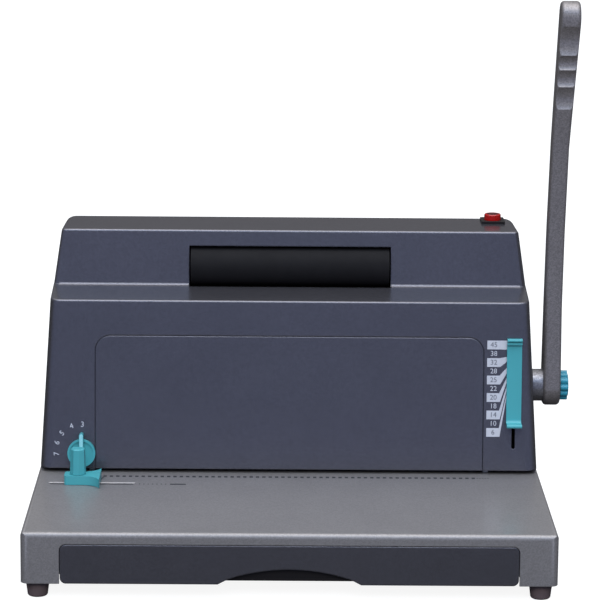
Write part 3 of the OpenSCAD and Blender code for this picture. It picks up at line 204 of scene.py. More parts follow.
def add_node(
    tree: bpy.types.NodeTree,
    kind: str,
    values: dict | None = None,
    links: dict | None = None,
    **settings: object,
) -> bpy.types.Node:
    """Add a node with its settings, socket values and incoming links.

    Args:
        tree: Node tree that takes the node.
        kind: Blender's name of the node type.
        values: Socket name or index to value.
        links: Socket name or index to (source node, output name or index).
        **settings: Properties of the node itself.

    Returns:
        The new node.
    """
    node = tree.nodes.new(kind)
    for key, value in settings.items():
        setattr(node, key, value)
    for key, value in (values or {}).items():
        node.inputs[key].default_value = value
    for key, (source, output) in (links or {}).items():
        tree.links.new(source.outputs[output], node.inputs[key])
    return node


def new_material(name: str) -> tuple[bpy.types.Material, bpy.types.NodeTree]:
    """Make a material without nodes.

    Args:
        name: Material's name.

    Returns:
        The material and its node tree.
    """
    material = bpy.data.materials.new(name)
    material.use_nodes = True
    material.node_tree.nodes.clear()
    return material, material.node_tree


@dataclass(frozen=True)
class Grain:
    """Fine unevenness of a surface: feature size and depth in mm."""

    size: float
    depth: float

    def normal(
        self, tree: bpy.types.NodeTree, coords: bpy.types.Node, edge: float
    ) -> bpy.types.Node:
        """Build the bump, on edges that are softened by a small radius.

        Args:
            tree: Material's node tree.
            coords: Texture Coordinate node.
            edge: Radius of the softened edges, in mm.

        Returns:
            Bump node whose Normal output shades the surface.
        """
        noise = add_node(
            tree, "ShaderNodeTexNoise",
            {"Scale": 1.0 / (self.size * MM), "Detail": 2.0, "Roughness": 0.5},
            {"Vector": (coords, "Object")},
        )
        bevel = add_node(tree, "ShaderNodeBevel", {"Radius": edge * MM}, samples=4)
        return add_node(
            tree, "ShaderNodeBump",
            {"Strength": 1.0, "Distance": self.depth * MM},
            {"Height": (noise, "Fac"), "Normal": (bevel, "Normal")},
        )


@dataclass(frozen=True)
class Finish:
    """A surface finish: a base colour that wanders a little, gloss and grain."""

    name: str
    colour: str
    roughness: float = 0.5
    metallic: float = 0.0
    coat: float = 0.0
    coat_roughness: float = 0.1
    specular: float = 0.5
    drift: float = 0.03
    drift_size: float = 40.0
    grain: Grain = Grain(0.8, 0.01)
    edge: float = 0.4
    smudge: float = 0.03
    smudge_size: float = 22.0

    def toned(self, tree: bpy.types.NodeTree, coords: bpy.types.Node) -> Output:
        """Base colour with a slow drift of tone.

        Args:
            tree: Material's node tree.
            coords: Texture Coordinate node.

        Returns:
            The node and the name of its colour output.
        """
        base = hex_to_linear(self.colour)
        noise = add_node(
            tree, "ShaderNodeTexNoise",
            {"Scale": 1.0 / (self.drift_size * MM), "Detail": 3.0},
            {"Vector": (coords, "Object")},
        )
        ramp = add_node(tree, "ShaderNodeValToRGB", links={"Fac": (noise, "Fac")})
        low, high = ramp.color_ramp.elements
        low.position, high.position = NOISE_SPAN
        low.color, high.color = scaled(base, 1 - self.drift), scaled(base, 1 + self.drift)
        return ramp, "Color"

    def handled(self, tree: bpy.types.NodeTree, coords: bpy.types.Node) -> Output:
        """Roughness that wanders where hands and dust have been.

        Args:
            tree: Material's node tree.
            coords: Texture Coordinate node.

        Returns:
            The node and the name of its output.
        """
        noise = add_node(
            tree, "ShaderNodeTexNoise",
            {"Scale": 1.0 / (self.smudge_size * MM), "Detail": 4.0, "Roughness": 0.6},
            {"Vector": (coords, "Object")},
        )
        span = add_node(
            tree, "ShaderNodeMapRange",
            {"From Min": NOISE_SPAN[0], "From Max": NOISE_SPAN[1],
             "To Min": self.roughness - self.smudge, "To Max": self.roughness + self.smudge},
            {"Value": (noise, "Fac")},
        )
        return span, "Result"

    def shader(self, tree: bpy.types.NodeTree, inputs: dict) -> bpy.types.Node:
        """Principled shader with this finish's even numbers on its own sockets.

        Args:
            tree: Material's node tree.
            inputs: Socket name to (source node, output name).

        Returns:
            The shader node.
        """
        values = {
            "Metallic": self.metallic,
            "Coat Weight": self.coat,
            "Coat Roughness": self.coat_roughness,
            "Specular IOR Level": self.specular,
        }
        return add_node(tree, "ShaderNodeBsdfPrincipled", values, inputs)

    def material(self) -> bpy.types.Material:
        """Build the material.

        Returns:
            The material, with its tone, gloss and grain in place.
        """
        material, tree = new_material(self.name)
        coords = add_node(tree, "ShaderNodeTexCoord")
        inputs = {
            "Base Color": self.toned(tree, coords),
            "Roughness": self.handled(tree, coords),
            "Normal": (self.grain.normal(tree, coords, self.edge), "Normal"),
        }
        shader = self.shader(tree, inputs)
        add_node(tree, "ShaderNodeOutputMaterial", links={"Surface": (shader, "BSDF")})
        return material


@dataclass(frozen=True)
class FlakeEnamel(Finish):
    """Stoved enamel with fine metal flake: a faint sparkle under a smooth coat."""

    flake: float = 0.12
    flake_size: float = 0.9

    def toned(self, tree: bpy.types.NodeTree, coords: bpy.types.Node) -> Output:
        """Drifting colour with lighter and darker flakes over it.

        Args:
            tree: Material's node tree.
            coords: Texture Coordinate node.

        Returns:
            The node and the name of its colour output.
        """
        base = super().toned(tree, coords)
        cells = add_node(
            tree, "ShaderNodeTexVoronoi", {"Scale": 1.0 / (self.flake_size * MM)},
            {"Vector": (coords, "Object")},
        )
        grey = add_node(tree, "ShaderNodeSeparateColor", links={"Color": (cells, "Color")})
        span = add_node(
            tree, "ShaderNodeMapRange", {"To Min": 1 - self.flake, "To Max": 1 + self.flake},
            {"Value": (grey, "Red")},
        )
        mixed = add_node(
            tree, "ShaderNodeVectorMath", links={0: base, 1: (span, "Result")},
            operation="MULTIPLY",
        )
        return mixed, "Vector"


@dataclass(frozen=True)
class BrushedMetal(Finish):
    """Metal brushed along X: long fine darker streaks in its colour."""

    streak: float = 0.25
    # Noise per metre along X, Y and Z: a streak is about 40 mm long and 1.1 mm thick
    streak_scale: Triple = (25.0, 900.0, 900.0)

    def toned(self, tree: bpy.types.NodeTree, coords: bpy.types.Node) -> Output:
        """Colour with darker streaks along X.

        Args:
            tree: Material's node tree.
            coords: Texture Coordinate node.

        Returns:
            The node and the name of its colour output.
        """
        base = hex_to_linear(self.colour)
        stretch = add_node(
            tree, "ShaderNodeMapping", {"Scale": self.streak_scale}, {"Vector": (coords, "Object")}
        )
        noise = add_node(
            tree, "ShaderNodeTexNoise", {"Scale": 1.0, "Detail": 4.0},
            {"Vector": (stretch, "Vector")},
        )
        ramp = add_node(tree, "ShaderNodeValToRGB", links={"Fac": (noise, "Fac")})
        low, high = ramp.color_ramp.elements
        low.position, high.position = STREAK_SPAN
        low.color, high.color = scaled(base, 1 - self.streak), base
        return ramp, "Color"


@dataclass(frozen=True)
class LensPlastic(Finish):
    """Clear dyed plastic of an illuminated cap: light gathers inside it."""

    glow: float = 0.25
    # How far red, green and blue light spread under the surface, as shares of depth in mm
    spread: Triple = (1.0, 0.1, 0.1)
    depth: float = 3.0

    def shader(self, tree: bpy.types.NodeTree, inputs: dict) -> bpy.types.Node:
        """Principled shader with some of its light spread under the surface.

        Args:
            tree: Material's node tree.
            inputs: Socket name to (source node, output name).

        Returns:
            The shader node.
        """
        shader = super().shader(tree, inputs)
        shader.inputs["Subsurface Weight"].default_value = self.glow
        shader.inputs["Subsurface Radius"].default_value = self.spread
        shader.inputs["Subsurface Scale"].default_value = self.depth * MM
        return shader


class Finishes:
    """The machine's finishes: one for each material slot, some nodes' own, and the inks."""

    def __init__(self) -> None:
        """Build every material once."""
        charcoal = dict(roughness=0.26, metallic=0.8, coat=0.3, coat_roughness=0.1, smudge=0.01,
                        grain=Grain(1.1, 0.002), edge=1.4)
        silver = dict(roughness=0.4, metallic=0.4, coat=0.3, coat_roughness=0.15, smudge=0.015,
                      grain=Grain(1.0, 0.004), edge=0.8)
        metal = dict(metallic=1.0, grain=Grain(0.5, 0.004))
        ink = dict(drift_size=3.0, edge=0.05)
        self.by_slot: dict[str, bpy.types.Material] = {
            # Blue-black stoved enamel: satin, with a soft sheen and a faint flake
            "charcoal_paint": FlakeEnamel(
                "charcoal_stoved_enamel", "#706f75", **charcoal).material(),
            # Silver-grey stoved enamel: satin and slightly sparkling
            "silver_paint": FlakeEnamel("silver_stoved_enamel", "#8d8a89", **silver).material(),
            # Injection-moulded ABS: even colour, soft gloss
            "teal_plastic": Finish("teal_moulded_abs", "#49a2a9", roughness=0.32, drift=0.02,
                                   grain=Grain(0.6, 0.004)).material(),
            # Spark-eroded mould: matt black with a fine tooth
            "black_plastic": Finish("black_moulded_abs", "#1d1b1b", roughness=0.5, specular=0.3,
                                    drift=0.05, grain=Grain(0.5, 0.02)).material(),
            # Ground nitrile rubber: dull and velvety
            "black_rubber": Finish("black_ground_rubber", "#1a191a", roughness=0.78,
                                   specular=0.22, drift=0.08, drift_size=12.0,
                                   grain=Grain(0.4, 0.03)).material(),
            # Clear dyed acrylic cap: deep red, glossy, brighter where it is thin
            "red_plastic": LensPlastic("red_dyed_acrylic", "#a80e0a", roughness=0.12,
                                       drift=0.02, grain=Grain(1.0, 0.002)).material(),
            # Drawn steel, brushed along its length: long soft streaks of light
            "steel": BrushedMetal("brushed_steel", "#b4b5b8", roughness=0.34, **metal).material(),
            # Turned brass: warm and bright, with fine tool marks
            "brass": BrushedMetal("turned_brass", "#c9a765", roughness=0.3, **metal).material(),
        }
        self.by_node: dict[str, bpy.types.Material] = {
            # Steel made dark as painted shade where it shows in the roller's recess; a dull metal
            # sheen
            "roller_shaft": BrushedMetal(
                "roller_shaft_shade_steel", "#2b2b2d", roughness=0.5, **metal).material(),
            # Cast and enamelled: a coarser sparkle that picks up the overhead light
            "lever_boss": FlakeEnamel("grey_cast_enamel", "#98979b", roughness=0.36,
                                      metallic=0.8, flake=0.3, grain=Grain(0.9, 0.01)).material(),
            # Warmer grey enamel over a cast arm: satin, with a visible flake
            "lever_arm": FlakeEnamel("warm_grey_enamel", "#8a8584", roughness=0.36, metallic=0.5,
                                     coat=0.2, coat_roughness=0.15, flake=0.2, smudge=0.02,
                                     grain=Grain(0.9, 0.006), edge=0.8).material(),
            # Moulded ABS, deeper and bluer than the other controls, with a tighter gloss
            "lever_knob": Finish("blue_teal_moulded_abs", "#308ba0", roughness=0.24, drift=0.02,
                                 grain=Grain(0.6, 0.003)).material(),
            # Nearly black steel in the throat, faint sheen: painted shade for the gap under the
            # housing
            "die_plate": BrushedMetal(
                "throat_shade_dark_steel", "#2f2f31", roughness=0.45, **metal).material(),
            # Moulded nitrile foot: brown-black
            "feet": Finish("brown_black_rubber", "#625555", roughness=0.62, specular=0.35,
                           drift=0.08, drift_size=9.0, grain=Grain(0.4, 0.02)).material(),
        }
        # The punch guide takes the same painted shade
        self.by_node["punch_guide"] = self.by_node["die_plate"]
        # Dark red acrylic on the cap's hollow top: painted shade that darkens the top
        self.dull_red = Finish("red_acrylic_painted_shade", "#3a0c0f", roughness=0.3, drift=0.03,
                               drift_size=5.0, grain=Grain(0.5, 0.002), edge=0.1).material()
        # Pale teal for the dial's rib: a painted highlight, flat and a little uneven
        self.pale_teal = Finish("rib_painted_highlight_teal", "#8fd3da", roughness=0.4, drift=0.03,
                                grain=Grain(0.3, 0.005), **ink).material()
        # Screen-printed inks: flat, a little uneven
        self.white_ink = Finish("white_screen_ink", "#c3c6ce", roughness=0.5, drift=0.04,
                                grain=Grain(0.3, 0.01), **ink).material()
        self.grey_ink = Finish("grey_screen_ink", "#585b65", roughness=0.5, drift=0.04,
                               grain=Grain(0.3, 0.01), **ink).material()
        self.dark_ink = Finish("dark_screen_ink", "#26272b", roughness=0.55, drift=0.06,
                               grain=Grain(0.3, 0.01), **ink).material()


# ---------------------------------------------------------------- mesh helpers


def finish_mesh(
    name: str,
    mesh: bpy.types.Mesh,
    material: bpy.types.Material,
    body: Body,
) -> bpy.types.Object:
    """Turn a mesh in the part's frame into a piece that rides on a body.

    Args:
        name: Piece's name.
        mesh: Closed mesh with its place in its vertices.
        material: Finish of the whole piece.
        body: Moving body that carries it.

    Returns:
        The new object.
    """
    mesh.materials.clear()
    mesh.materials.append(material)
    piece = bpy.data.objects.new(name, mesh)
    bpy.context.scene.collection.objects.link(piece)
    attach(piece, body.value)
    LOG.info("%s: %d faces on %s", name, len(mesh.polygons), body.value)
    return piece


def built_mesh(name: str, builder: bmesh.types.BMesh) -> bpy.types.Mesh:
    """Turn a builder's faces into a mesh and free the builder.

    Args:
        name: Mesh name.
        builder: Holds the faces, with their place in their vertices.

    Returns:
        The new mesh.
    """
    mesh = bpy.data.meshes.new(name)
    builder.to_mesh(mesh)
    builder.free()
    return mesh


def plates_mesh(
    name: str,
    outlines: list[list[Pair]],
    plane: Plane,
    height: float = PRINT_HEIGHT,
    depth: float = PRINT_DEPTH,
) -> bpy.types.Mesh:
    """Thin closed plates on a face.

    Args:
        name: Mesh name.
        outlines: One anticlockwise outline per plate, in mm on the face.
        plane: Face that carries them.
        height: Height of their tops above the face, in mm.
        depth: Depth of their undersides below the face, in mm.

    Returns:
        Mesh with its place in its vertices.
    """
    builder = bmesh.new()
    for outline in outlines:
        low = [builder.verts.new(plane.at(u, v, -depth)) for u, v in outline]
        high = [builder.verts.new(plane.at(u, v, height)) for u, v in outline]
        count = len(outline)
        builder.faces.new(high)
        builder.faces.new(list(reversed(low)))
        for i in range(count):
            j = (i + 1) % count
            builder.faces.new((low[i], low[j], high[j], high[i]))
    bmesh.ops.recalc_face_normals(builder, faces=builder.faces)
    return built_mesh(name, builder)


def extruded_mesh(
    name: str, outline: list[Pair], spans: list[Pair], smooth: int
) -> bpy.types.Mesh:
    """Closed strips along X with one profile.

    Args:
        name: Mesh name.
        outline: Profile in Y and Z, in mm; its round part comes first.
        spans: Start and end of each strip in X, in mm.
        smooth: Number of the profile's first faces that shade round.

    Returns:
        Mesh with its place in its vertices.
    """
    builder = bmesh.new()
    frame = Frame()
    count = len(outline)
    for x0, x1 in spans:
        start, end = (
            [builder.verts.new(frame.point(Vector((x, y, z)))) for y, z in outline]
            for x in (x0, x1)
        )
        for i in range(count):
            j = (i + 1) % count
            face = builder.faces.new((start[i], start[j], end[j], end[i]))
            face.smooth = i < smooth
        # Sharp rims keep the ends' direction out of the round faces' shading
        for cap in (start, end):
            for edge in builder.faces.new(cap).edges:
                edge.smooth = False
    bmesh.ops.recalc_face_normals(builder, faces=builder.faces)
    return built_mesh(name, builder)


def text_mesh(
    name: str, words: list[tuple[str, Matrix]], height: float, thick: float
) -> bpy.types.Mesh:
    """Numbers as one mesh.

    Args:
        name: Mesh name.
        words: Each number with its placement on a face.
        height: Height of a figure, in mm.
        thick: Height of the print above the face, in mm.

    Returns:
        Mesh with its place in its vertices.
    """
    builder = bmesh.new()
    for word, placement in words:
        curve = bpy.data.curves.new(name, "FONT")
        curve.body = word
        curve.align_x, curve.align_y = "CENTER", "CENTER"
        curve.size = height * MM / FIGURE_SHARE
        curve.extrude = thick * MM
        curve.resolution_u = 3
        holder = bpy.data.objects.new(name, curve)
        bpy.context.scene.collection.objects.link(holder)
        bpy.context.view_layer.update()
        graph = bpy.context.evaluated_depsgraph_get()
        solid = bpy.data.meshes.new_from_object(holder.evaluated_get(graph))
        solid.transform(placement)
        builder.from_mesh(solid)
        bpy.data.objects.remove(holder)
        bpy.data.curves.remove(curve)
        bpy.data.meshes.remove(solid)
    bmesh.ops.remove_doubles(builder, verts=builder.verts, dist=SAME_CORNER)
    return built_mesh(name, builder)


# ---------------------------------------------------------------- repeated marks


@dataclass
class MarkRow:
    """Row of equal printed marks, laid out by a Geometry Nodes tree."""

    count: int = 59
    pitch: float = 5.0
    length: float = 2.6
    width: float = 4.0
    thick: float = PRINT_HEIGHT

    def tree(self, material: bpy.types.Material) -> bpy.types.NodeTree:
        """Build the tree: a line of points, a small plate on each, one material.

        Args:
            material: Ink of the marks.

        Returns:
            The node group, with its sizes as named inputs.
        """
        tree = bpy.data.node_groups.new("mark_row", "GeometryNodeTree")
        tree.interface.new_socket("Geometry", in_out="OUTPUT", socket_type="NodeSocketGeometry")
        tree.interface.new_socket("Count", in_out="INPUT", socket_type="NodeSocketInt")
        tree.interface.new_socket("Pitch", in_out="INPUT", socket_type="NodeSocketVector")
        tree.interface.new_socket("Plate", in_out="INPUT", socket_type="NodeSocketVector")
        sizes = add_node(tree, "NodeGroupInput")
        line = add_node(
            tree, "GeometryNodeMeshLine",
            links={"Count": (sizes, "Count"), "Offset": (sizes, "Pitch")},
        )
        plate = add_node(tree, "GeometryNodeMeshCube", links={"Size": (sizes, "Plate")})
        copies = add_node(
            tree, "GeometryNodeInstanceOnPoints",
            links={"Points": (line, "Mesh"), "Instance": (plate, "Mesh")},
        )
        real = add_node(
            tree, "GeometryNodeRealizeInstances", links={"Geometry": (copies, "Instances")}
        )
        inked = add_node(
            tree, "GeometryNodeSetMaterial", {"Material": material},
            {"Geometry": (real, "Geometry")},
        )
        add_node(tree, "NodeGroupOutput", links={"Geometry": (inked, "Geometry")})
        return tree

    def mesh(self, name: str, material: bpy.types.Material, placement: Matrix) -> bpy.types.Mesh:
        """Evaluate the tree into a plain mesh.

        Args:
            name: Mesh name.
            material: Ink of the marks.
            placement: Where the middle of the row lies, and its directions.

        Returns:
            Mesh with its place in its vertices.
        """
        holder = bpy.data.objects.new(name, bpy.data.meshes.new(name))
        bpy.context.scene.collection.objects.link(holder)
        modifier = holder.modifiers.new("row", "NODES")
        modifier.node_group = self.tree(material)
        values = {
            "Count": self.count,
            "Pitch": (self.pitch * MM, 0.0, 0.0),
            "Plate": (self.length * MM, self.width * MM, 2 * self.thick * MM),
        }
        for item in modifier.node_group.interface.items_tree:
            if item.in_out == "INPUT":
                modifier[item.identifier] = values[item.name]
        bpy.context.view_layer.update()
        graph = bpy.context.evaluated_depsgraph_get()
        mesh = bpy.data.meshes.new_from_object(holder.evaluated_get(graph))
        bpy.data.objects.remove(holder)
        half = (self.count - 1) * self.pitch / 2 * MM
        mesh.transform(placement @ Matrix.Translation((-half, 0.0, 0.0)))
        return mesh


class EdgeSmoothing:
    """Rounds the shading of the CAD nodes' facets and keeps their real edges."""

    def __init__(self, angle: float = 32.0, merge: float = 0.002) -> None:
        """Build the node group.

        Args:
            angle: Edges sharper than this stay sharp, in degrees.
            merge: Corners closer than this become one, in mm.
        """
        tree = bpy.data.node_groups.new("edge_smoothing", "GeometryNodeTree")
        tree.interface.new_socket("Geometry", in_out="INPUT", socket_type="NodeSocketGeometry")
        tree.interface.new_socket("Geometry", in_out="OUTPUT", socket_type="NodeSocketGeometry")
        start = add_node(tree, "NodeGroupInput")
        merged = add_node(
            tree, "GeometryNodeMergeByDistance", {"Distance": merge * MM},
            {"Geometry": (start, "Geometry")},
        )
        turn = add_node(tree, "GeometryNodeInputMeshEdgeAngle")
        sharp = add_node(
            tree, "FunctionNodeCompare", {"B": math.radians(angle)},
            {"A": (turn, "Unsigned Angle")}, operation="GREATER_THAN",
        )
        marked = add_node(
            tree, "GeometryNodeStoreNamedAttribute", {"Name": "sharp_edge"},
            {"Geometry": (merged, "Geometry"), "Value": (sharp, "Result")},
            data_type="BOOLEAN", domain="EDGE",
        )
        smooth = add_node(
            tree, "GeometryNodeSetShadeSmooth", links={"Geometry": (marked, "Geometry")}
        )
        add_node(tree, "NodeGroupOutput", links={"Geometry": (smooth, "Geometry")})
        self.group = tree

    def apply(self, node: bpy.types.Object) -> None:
        """Give one CAD node the modifiers that round its shading.

        Args:
            node: The node's object.
        """
        modifier = node.modifiers.new("edge_smoothing", "NODES")
        modifier.node_group = self.group
        # Large faces keep their own direction, so that only the rims shade round
        weighting = node.modifiers.new("large_faces_flat", "WEIGHTED_NORMAL")
        weighting.keep_sharp = True


# ---------------------------------------------------------------- sub-assemblies


@dataclass
class GaugeScale:
    """Printed scale beside the thickness gauge: boxes, fan bands and numbers."""

    face: Plane
    inks: Finishes
    rows: tuple[int, ...] = (45, 38, 32, 28, 25, 22, 20, 18, 14, 10, 6)
    left: float = 155.8
    right: float = 166.3
    slider: float = 172.2
    first: float = 100.2
    pitch: float = 6.96
    # Heights at which the bands' edges meet the slider
    bounds: tuple[float, ...] = (
        103.7, 96.5, 90.9, 87.7, 83.2, 79.2, 76.0, 72.9, 70.1, 67.5, 65.0, 62.8,
    )
    # Slant of a box's upper right corner
    slant: float = 0.6
    figure: float = 3.9

    def outline(self, row: int) -> list[Pair]:
        """Outline of one white row: its box and its band to the slider.

        Args:
            row: Number of the row, from 0 at the top.

        Returns:
            Corners on the face, anticlockwise, in mm.
        """
        top = self.first - row * self.pitch + self.pitch / 2
        low = top - self.pitch
        return [
            (self.left, low), (self.right, low), (self.slider, self.bounds[row + 1]),
            (self.slider, self.bounds[row]), (self.right - self.slant, top), (self.left, top),
        ]

    def numbers(self, white_rows: bool) -> list[tuple[str, Matrix]]:
        """Numbers of every second row with their places.

        Args:
            white_rows: True for the rows whose box is white.

        Returns:
            Number and placement of each.
        """
        middle = (self.left + self.right) / 2
        return [
            (str(value), self.face.matrix(middle, self.first - i * self.pitch, 0.0))
            for i, value in enumerate(self.rows)
            if (i % 2 == 0) == white_rows
        ]

    def build(self) -> list[bpy.types.Object]:
        """Make the boxes and both sets of numbers.

        Returns:
            The pieces.
        """
        outlines = [self.outline(i) for i in range(0, len(self.rows), 2)]
        boxes = plates_mesh("gauge_boxes", outlines, self.face)
        # The dark numbers stand on the boxes, the light ones on the face
        dark = text_mesh("gauge_dark_numbers", self.numbers(True), self.figure, 2 * PRINT_HEIGHT)
        light = text_mesh("gauge_light_numbers", self.numbers(False), self.figure, PRINT_HEIGHT)
        return [
            finish_mesh("gauge_boxes", boxes, self.inks.white_ink, Body.FRAME),
            finish_mesh("gauge_dark_numbers", dark, self.inks.grey_ink, Body.FRAME),
            finish_mesh("gauge_light_numbers", light, self.inks.white_ink, Body.FRAME),
        ]


@dataclass
class DialNumbers:
    """Numbers round the margin dial, each turned to face its centre."""

    face: Plane
    inks: Finishes
    places: dict[str, Pair] = field(default_factory=lambda: {
        "3": (-163.3, 34.8), "4": (-171.9, 33.4), "5": (-179.4, 27.8),
        "6": (-183.3, 20.2), "7": (-183.6, 11.3),
    })
    figure: float = 4.2

    def build(self) -> list[bpy.types.Object]:
        """Make the numbers.

        Returns:
            The piece.
        """
        words = []
        for figure, (u, v) in self.places.items():
            turn = math.degrees(math.atan2(v - DIAL_CENTRE[1], u - DIAL_CENTRE[0])) - 90.0
            words.append((figure, self.face.matrix(u, v, turn)))
        mesh = text_mesh("dial_numbers", words, self.figure, PRINT_HEIGHT)
        return [finish_mesh("dial_numbers", mesh, self.inks.white_ink, Body.FRAME)]


@dataclass(frozen=True)
class Line:
    """Printed line along X, or an even row of such lines, in mm."""

    left: float
    right: float
    y: float
    width: float
    count: int = 1
    pitch: float = 0.0

    def outlines(self, start: float = 0.0) -> list[list[Pair]]:
        """Outline of each line.

        Args:
            start: Place in X that left and right are measured from.

        Returns:
            Corners of each line, anticlockwise.
        """
        low, high = self.y - self.width / 2, self.y + self.width / 2
        outlines = []
        for i in range(self.count):
            left = start + self.left + self.pitch * i
            right = start + self.right + self.pitch * i
            outlines.append([(left, low), (right, low), (right, high), (left, high)])
        return outlines


@dataclass
class BasePrint:
    """Base marks: one per hole, lines for sheet edges, and a painted shade line in the slot."""

    top: Plane
    inks: Finishes
    row: MarkRow = field(default_factory=MarkRow)
    row_x: float = 0.3
    bar: Line = Line(-92.8, -80.4, -23.3, 3.0)
    # Dark line along the stop's slot: painted shade for the slot's inside
    slot_rim: Line = Line(-186.0, -121.6, -24.4, 1.6)
    slot_ticks: Line = Line(-117.0, -116.2, -23.2, 2.0, count=7, pitch=3.4)
    # Ticks beyond the last hole mark, measured from it
    end_ticks: Line = Line(2.6, 3.8, 0.0, 1.1, count=5, pitch=2.1)
    # Slanted line for the sheet's edge, measured from the first hole mark
    edge_line: tuple[Pair, ...] = ((-3.8, -13.0), (-3.0, -13.0), (-0.1, -1.0), (-0.9, -1.0))

    def build(self) -> list[bpy.types.Object]:
        """Make the row of hole marks and the lines.

        Returns:
            The pieces.
        """
        placement = self.top.matrix(self.row_x, 0.0, 0.0)
        dashes = self.row.mesh("hole_marks", self.inks.dark_ink, placement)
        half = (self.row.count - 1) * self.row.pitch / 2
        first, last = self.row_x - half, self.row_x + half
        outlines = self.bar.outlines() + self.slot_rim.outlines()
        outlines.append([(first + x, y) for x, y in self.edge_line])
        outlines += self.end_ticks.outlines(last) + self.slot_ticks.outlines()
        lines = plates_mesh("edge_marks_and_slot_shade", outlines, self.top)
        return [
            finish_mesh("hole_marks", dashes, self.inks.dark_ink, Body.FRAME),
            finish_mesh("edge_marks_and_slot_shade", lines, self.inks.dark_ink, Body.FRAME),
        ]


@dataclass
class LedgeFillet:
    """Concave rounding where the upper front stands on the ledge."""

    finishes: Finishes
    y: float = 65.265
    z: float = 192.4
    half: float = 184.7
    recess_half: float = 80.5
    radius: float = 1.8
    ledge_tilt: float = 6.98
    upper_lean: float = 8.0
    # How far the strip's foot reaches into the housing
    foot: float = 0.6
    steps: int = 8

    def profile(self) -> list[Pair]:
        """Profile of the strip: the hollow arc and a foot inside the housing.

        Returns:
            Corners in Y and Z, the arc first, in mm.
        """
        tilt, lean = math.radians(self.ledge_tilt), math.radians(self.upper_lean)
        scale = self.radius / math.cos(tilt + lean)
        centre_y = self.y + scale * (math.sin(lean) - math.cos(tilt))
        centre_z = self.z + scale * (math.cos(lean) - math.sin(tilt))
        first, last = tilt - math.pi / 2, -lean
        arc = []
        for i in range(self.steps + 1):
            angle = first + (last - first) * i / self.steps
            arc.append((
                centre_y + self.radius * math.cos(angle), centre_z + self.radius * math.sin(angle)
            ))
        return arc + [
            (arc[-1][0] + self.foot, arc[-1][1]),
            (self.y + self.foot, self.z - self.foot),
            (arc[0][0], arc[0][1] - self.foot),
        ]

    def build(self) -> list[bpy.types.Object]:
        """Make the strips at both sides of the roller's recess.

        Returns:
            The piece.
        """
        spans = [(-self.half, -self.recess_half), (self.recess_half, self.half)]
        mesh = extruded_mesh("ledge_fillet", self.profile(), spans, self.steps)
        paint = self.finishes.by_slot["charcoal_paint"]
        return [finish_mesh("ledge_fillet", mesh, paint, Body.FRAME)]


@dataclass
class SmallControls:
    """Painted highlight along the dial's rib, and a dish of painted shade on the button's top."""

    face: Plane
    inks: Finishes
    rib_height: float = 8.0
    rib_half: float = 1.35
    rib_low: float = -2.0
    rib_top: float = 15.8
    rib_steps: int = 12
    # Middle of the cap's top at its rim
    button: Vector = field(default_factory=lambda: Vector((164.7, 117.393, 242.8)))
    # Depth of the cap's hollow and radius of the ball that shapes it
    hollow: float = 0.5
    ball: float = 38.5
    dish_r: float = 5.0
    # Height of the dish's top above the hollow, and depth of its underside below it
    dish_rise: float = 0.06
    dish_sink: float = 0.2

    def rib_line(self) -> list[Pair]:
        """Outline of the painted highlight on the rib, round at its upper end.

        Returns:
            Corners on the face, anticlockwise, in mm.
        """
        u, v = DIAL_CENTRE
        half, low, end = self.rib_half, v + self.rib_low, v + self.rib_top - self.rib_half
        turns = [math.pi * i / self.rib_steps for i in range(self.rib_steps + 1)]
        round_end = [(u + half * math.cos(a), end + half * math.sin(a)) for a in turns]
        return [(u - half, low), (u + half, low)] + round_end

    def dish_mesh(self, rings: int = 4, around: int = 40) -> bpy.types.Mesh:
        """Shallow closed dish of painted shade that follows the cap's hollow top.

        Args:
            rings: Number of rings from the middle to the rim.
            around: Number of points on a ring.

        Returns:
            Mesh with its place in its vertices.
        """
        builder = bmesh.new()
        frame = Frame()

        def ring(radius: float, lift: float) -> list[bmesh.types.BMVert]:
            """Ring of points on the cap's hollow.

            Args:
                radius: The ring's radius, in mm.
                lift: Height above the hollow, in mm.

            Returns:
                The ring's vertices, anticlockwise from above.
            """
            rise = self.ball - math.sqrt(self.ball**2 - radius**2) - self.hollow + lift
            turns = [2 * math.pi * i / around for i in range(around)]
            offsets = [Vector((radius * math.cos(a), radius * math.sin(a), rise)) for a in turns]
            return [builder.verts.new(frame.point(self.button + offset)) for offset in offsets]

        radii = [self.dish_r * (i + 1) / rings for i in range(rings)]
        tops = [ring(radius, self.dish_rise) for radius in radii]
        lows = [ring(radius, -self.dish_sink) for radius in radii]
        for inner, outer in [*zip(tops, tops[1:]), *zip(lows[1:], lows)]:
            for i in range(around):
                j = (i + 1) % around
                builder.faces.new((inner[i], inner[j], outer[j], outer[i]))
        for i in range(around):
            j = (i + 1) % around
            builder.faces.new((tops[-1][i], tops[-1][j], lows[-1][j], lows[-1][i]))
        builder.faces.new(tops[0])
        builder.faces.new(list(reversed(lows[0])))
        bmesh.ops.recalc_face_normals(builder, faces=builder.faces)
        return built_mesh("button_painted_shade_dish", builder)

    def build(self) -> list[bpy.types.Object]:
        """Make the rib's painted highlight and the dish of painted shade.

        Returns:
            The pieces.
        """
        # A pale plate on the rib's front: painted highlight where the rib catches the light
        line = plates_mesh(
            "dial_rib_highlight", [self.rib_line()], self.face,
            height=self.rib_height + PRINT_HEIGHT, depth=PRINT_DEPTH - self.rib_height,
        )
        return [
            finish_mesh("dial_rib_highlight", line, self.inks.pale_teal, Body.DIAL),
            # The dish's dark red is painted shade on the cap's top
            finish_mesh("button_painted_shade_dish", self.dish_mesh(), self.inks.dull_red, Body.BUTTON),
        ]


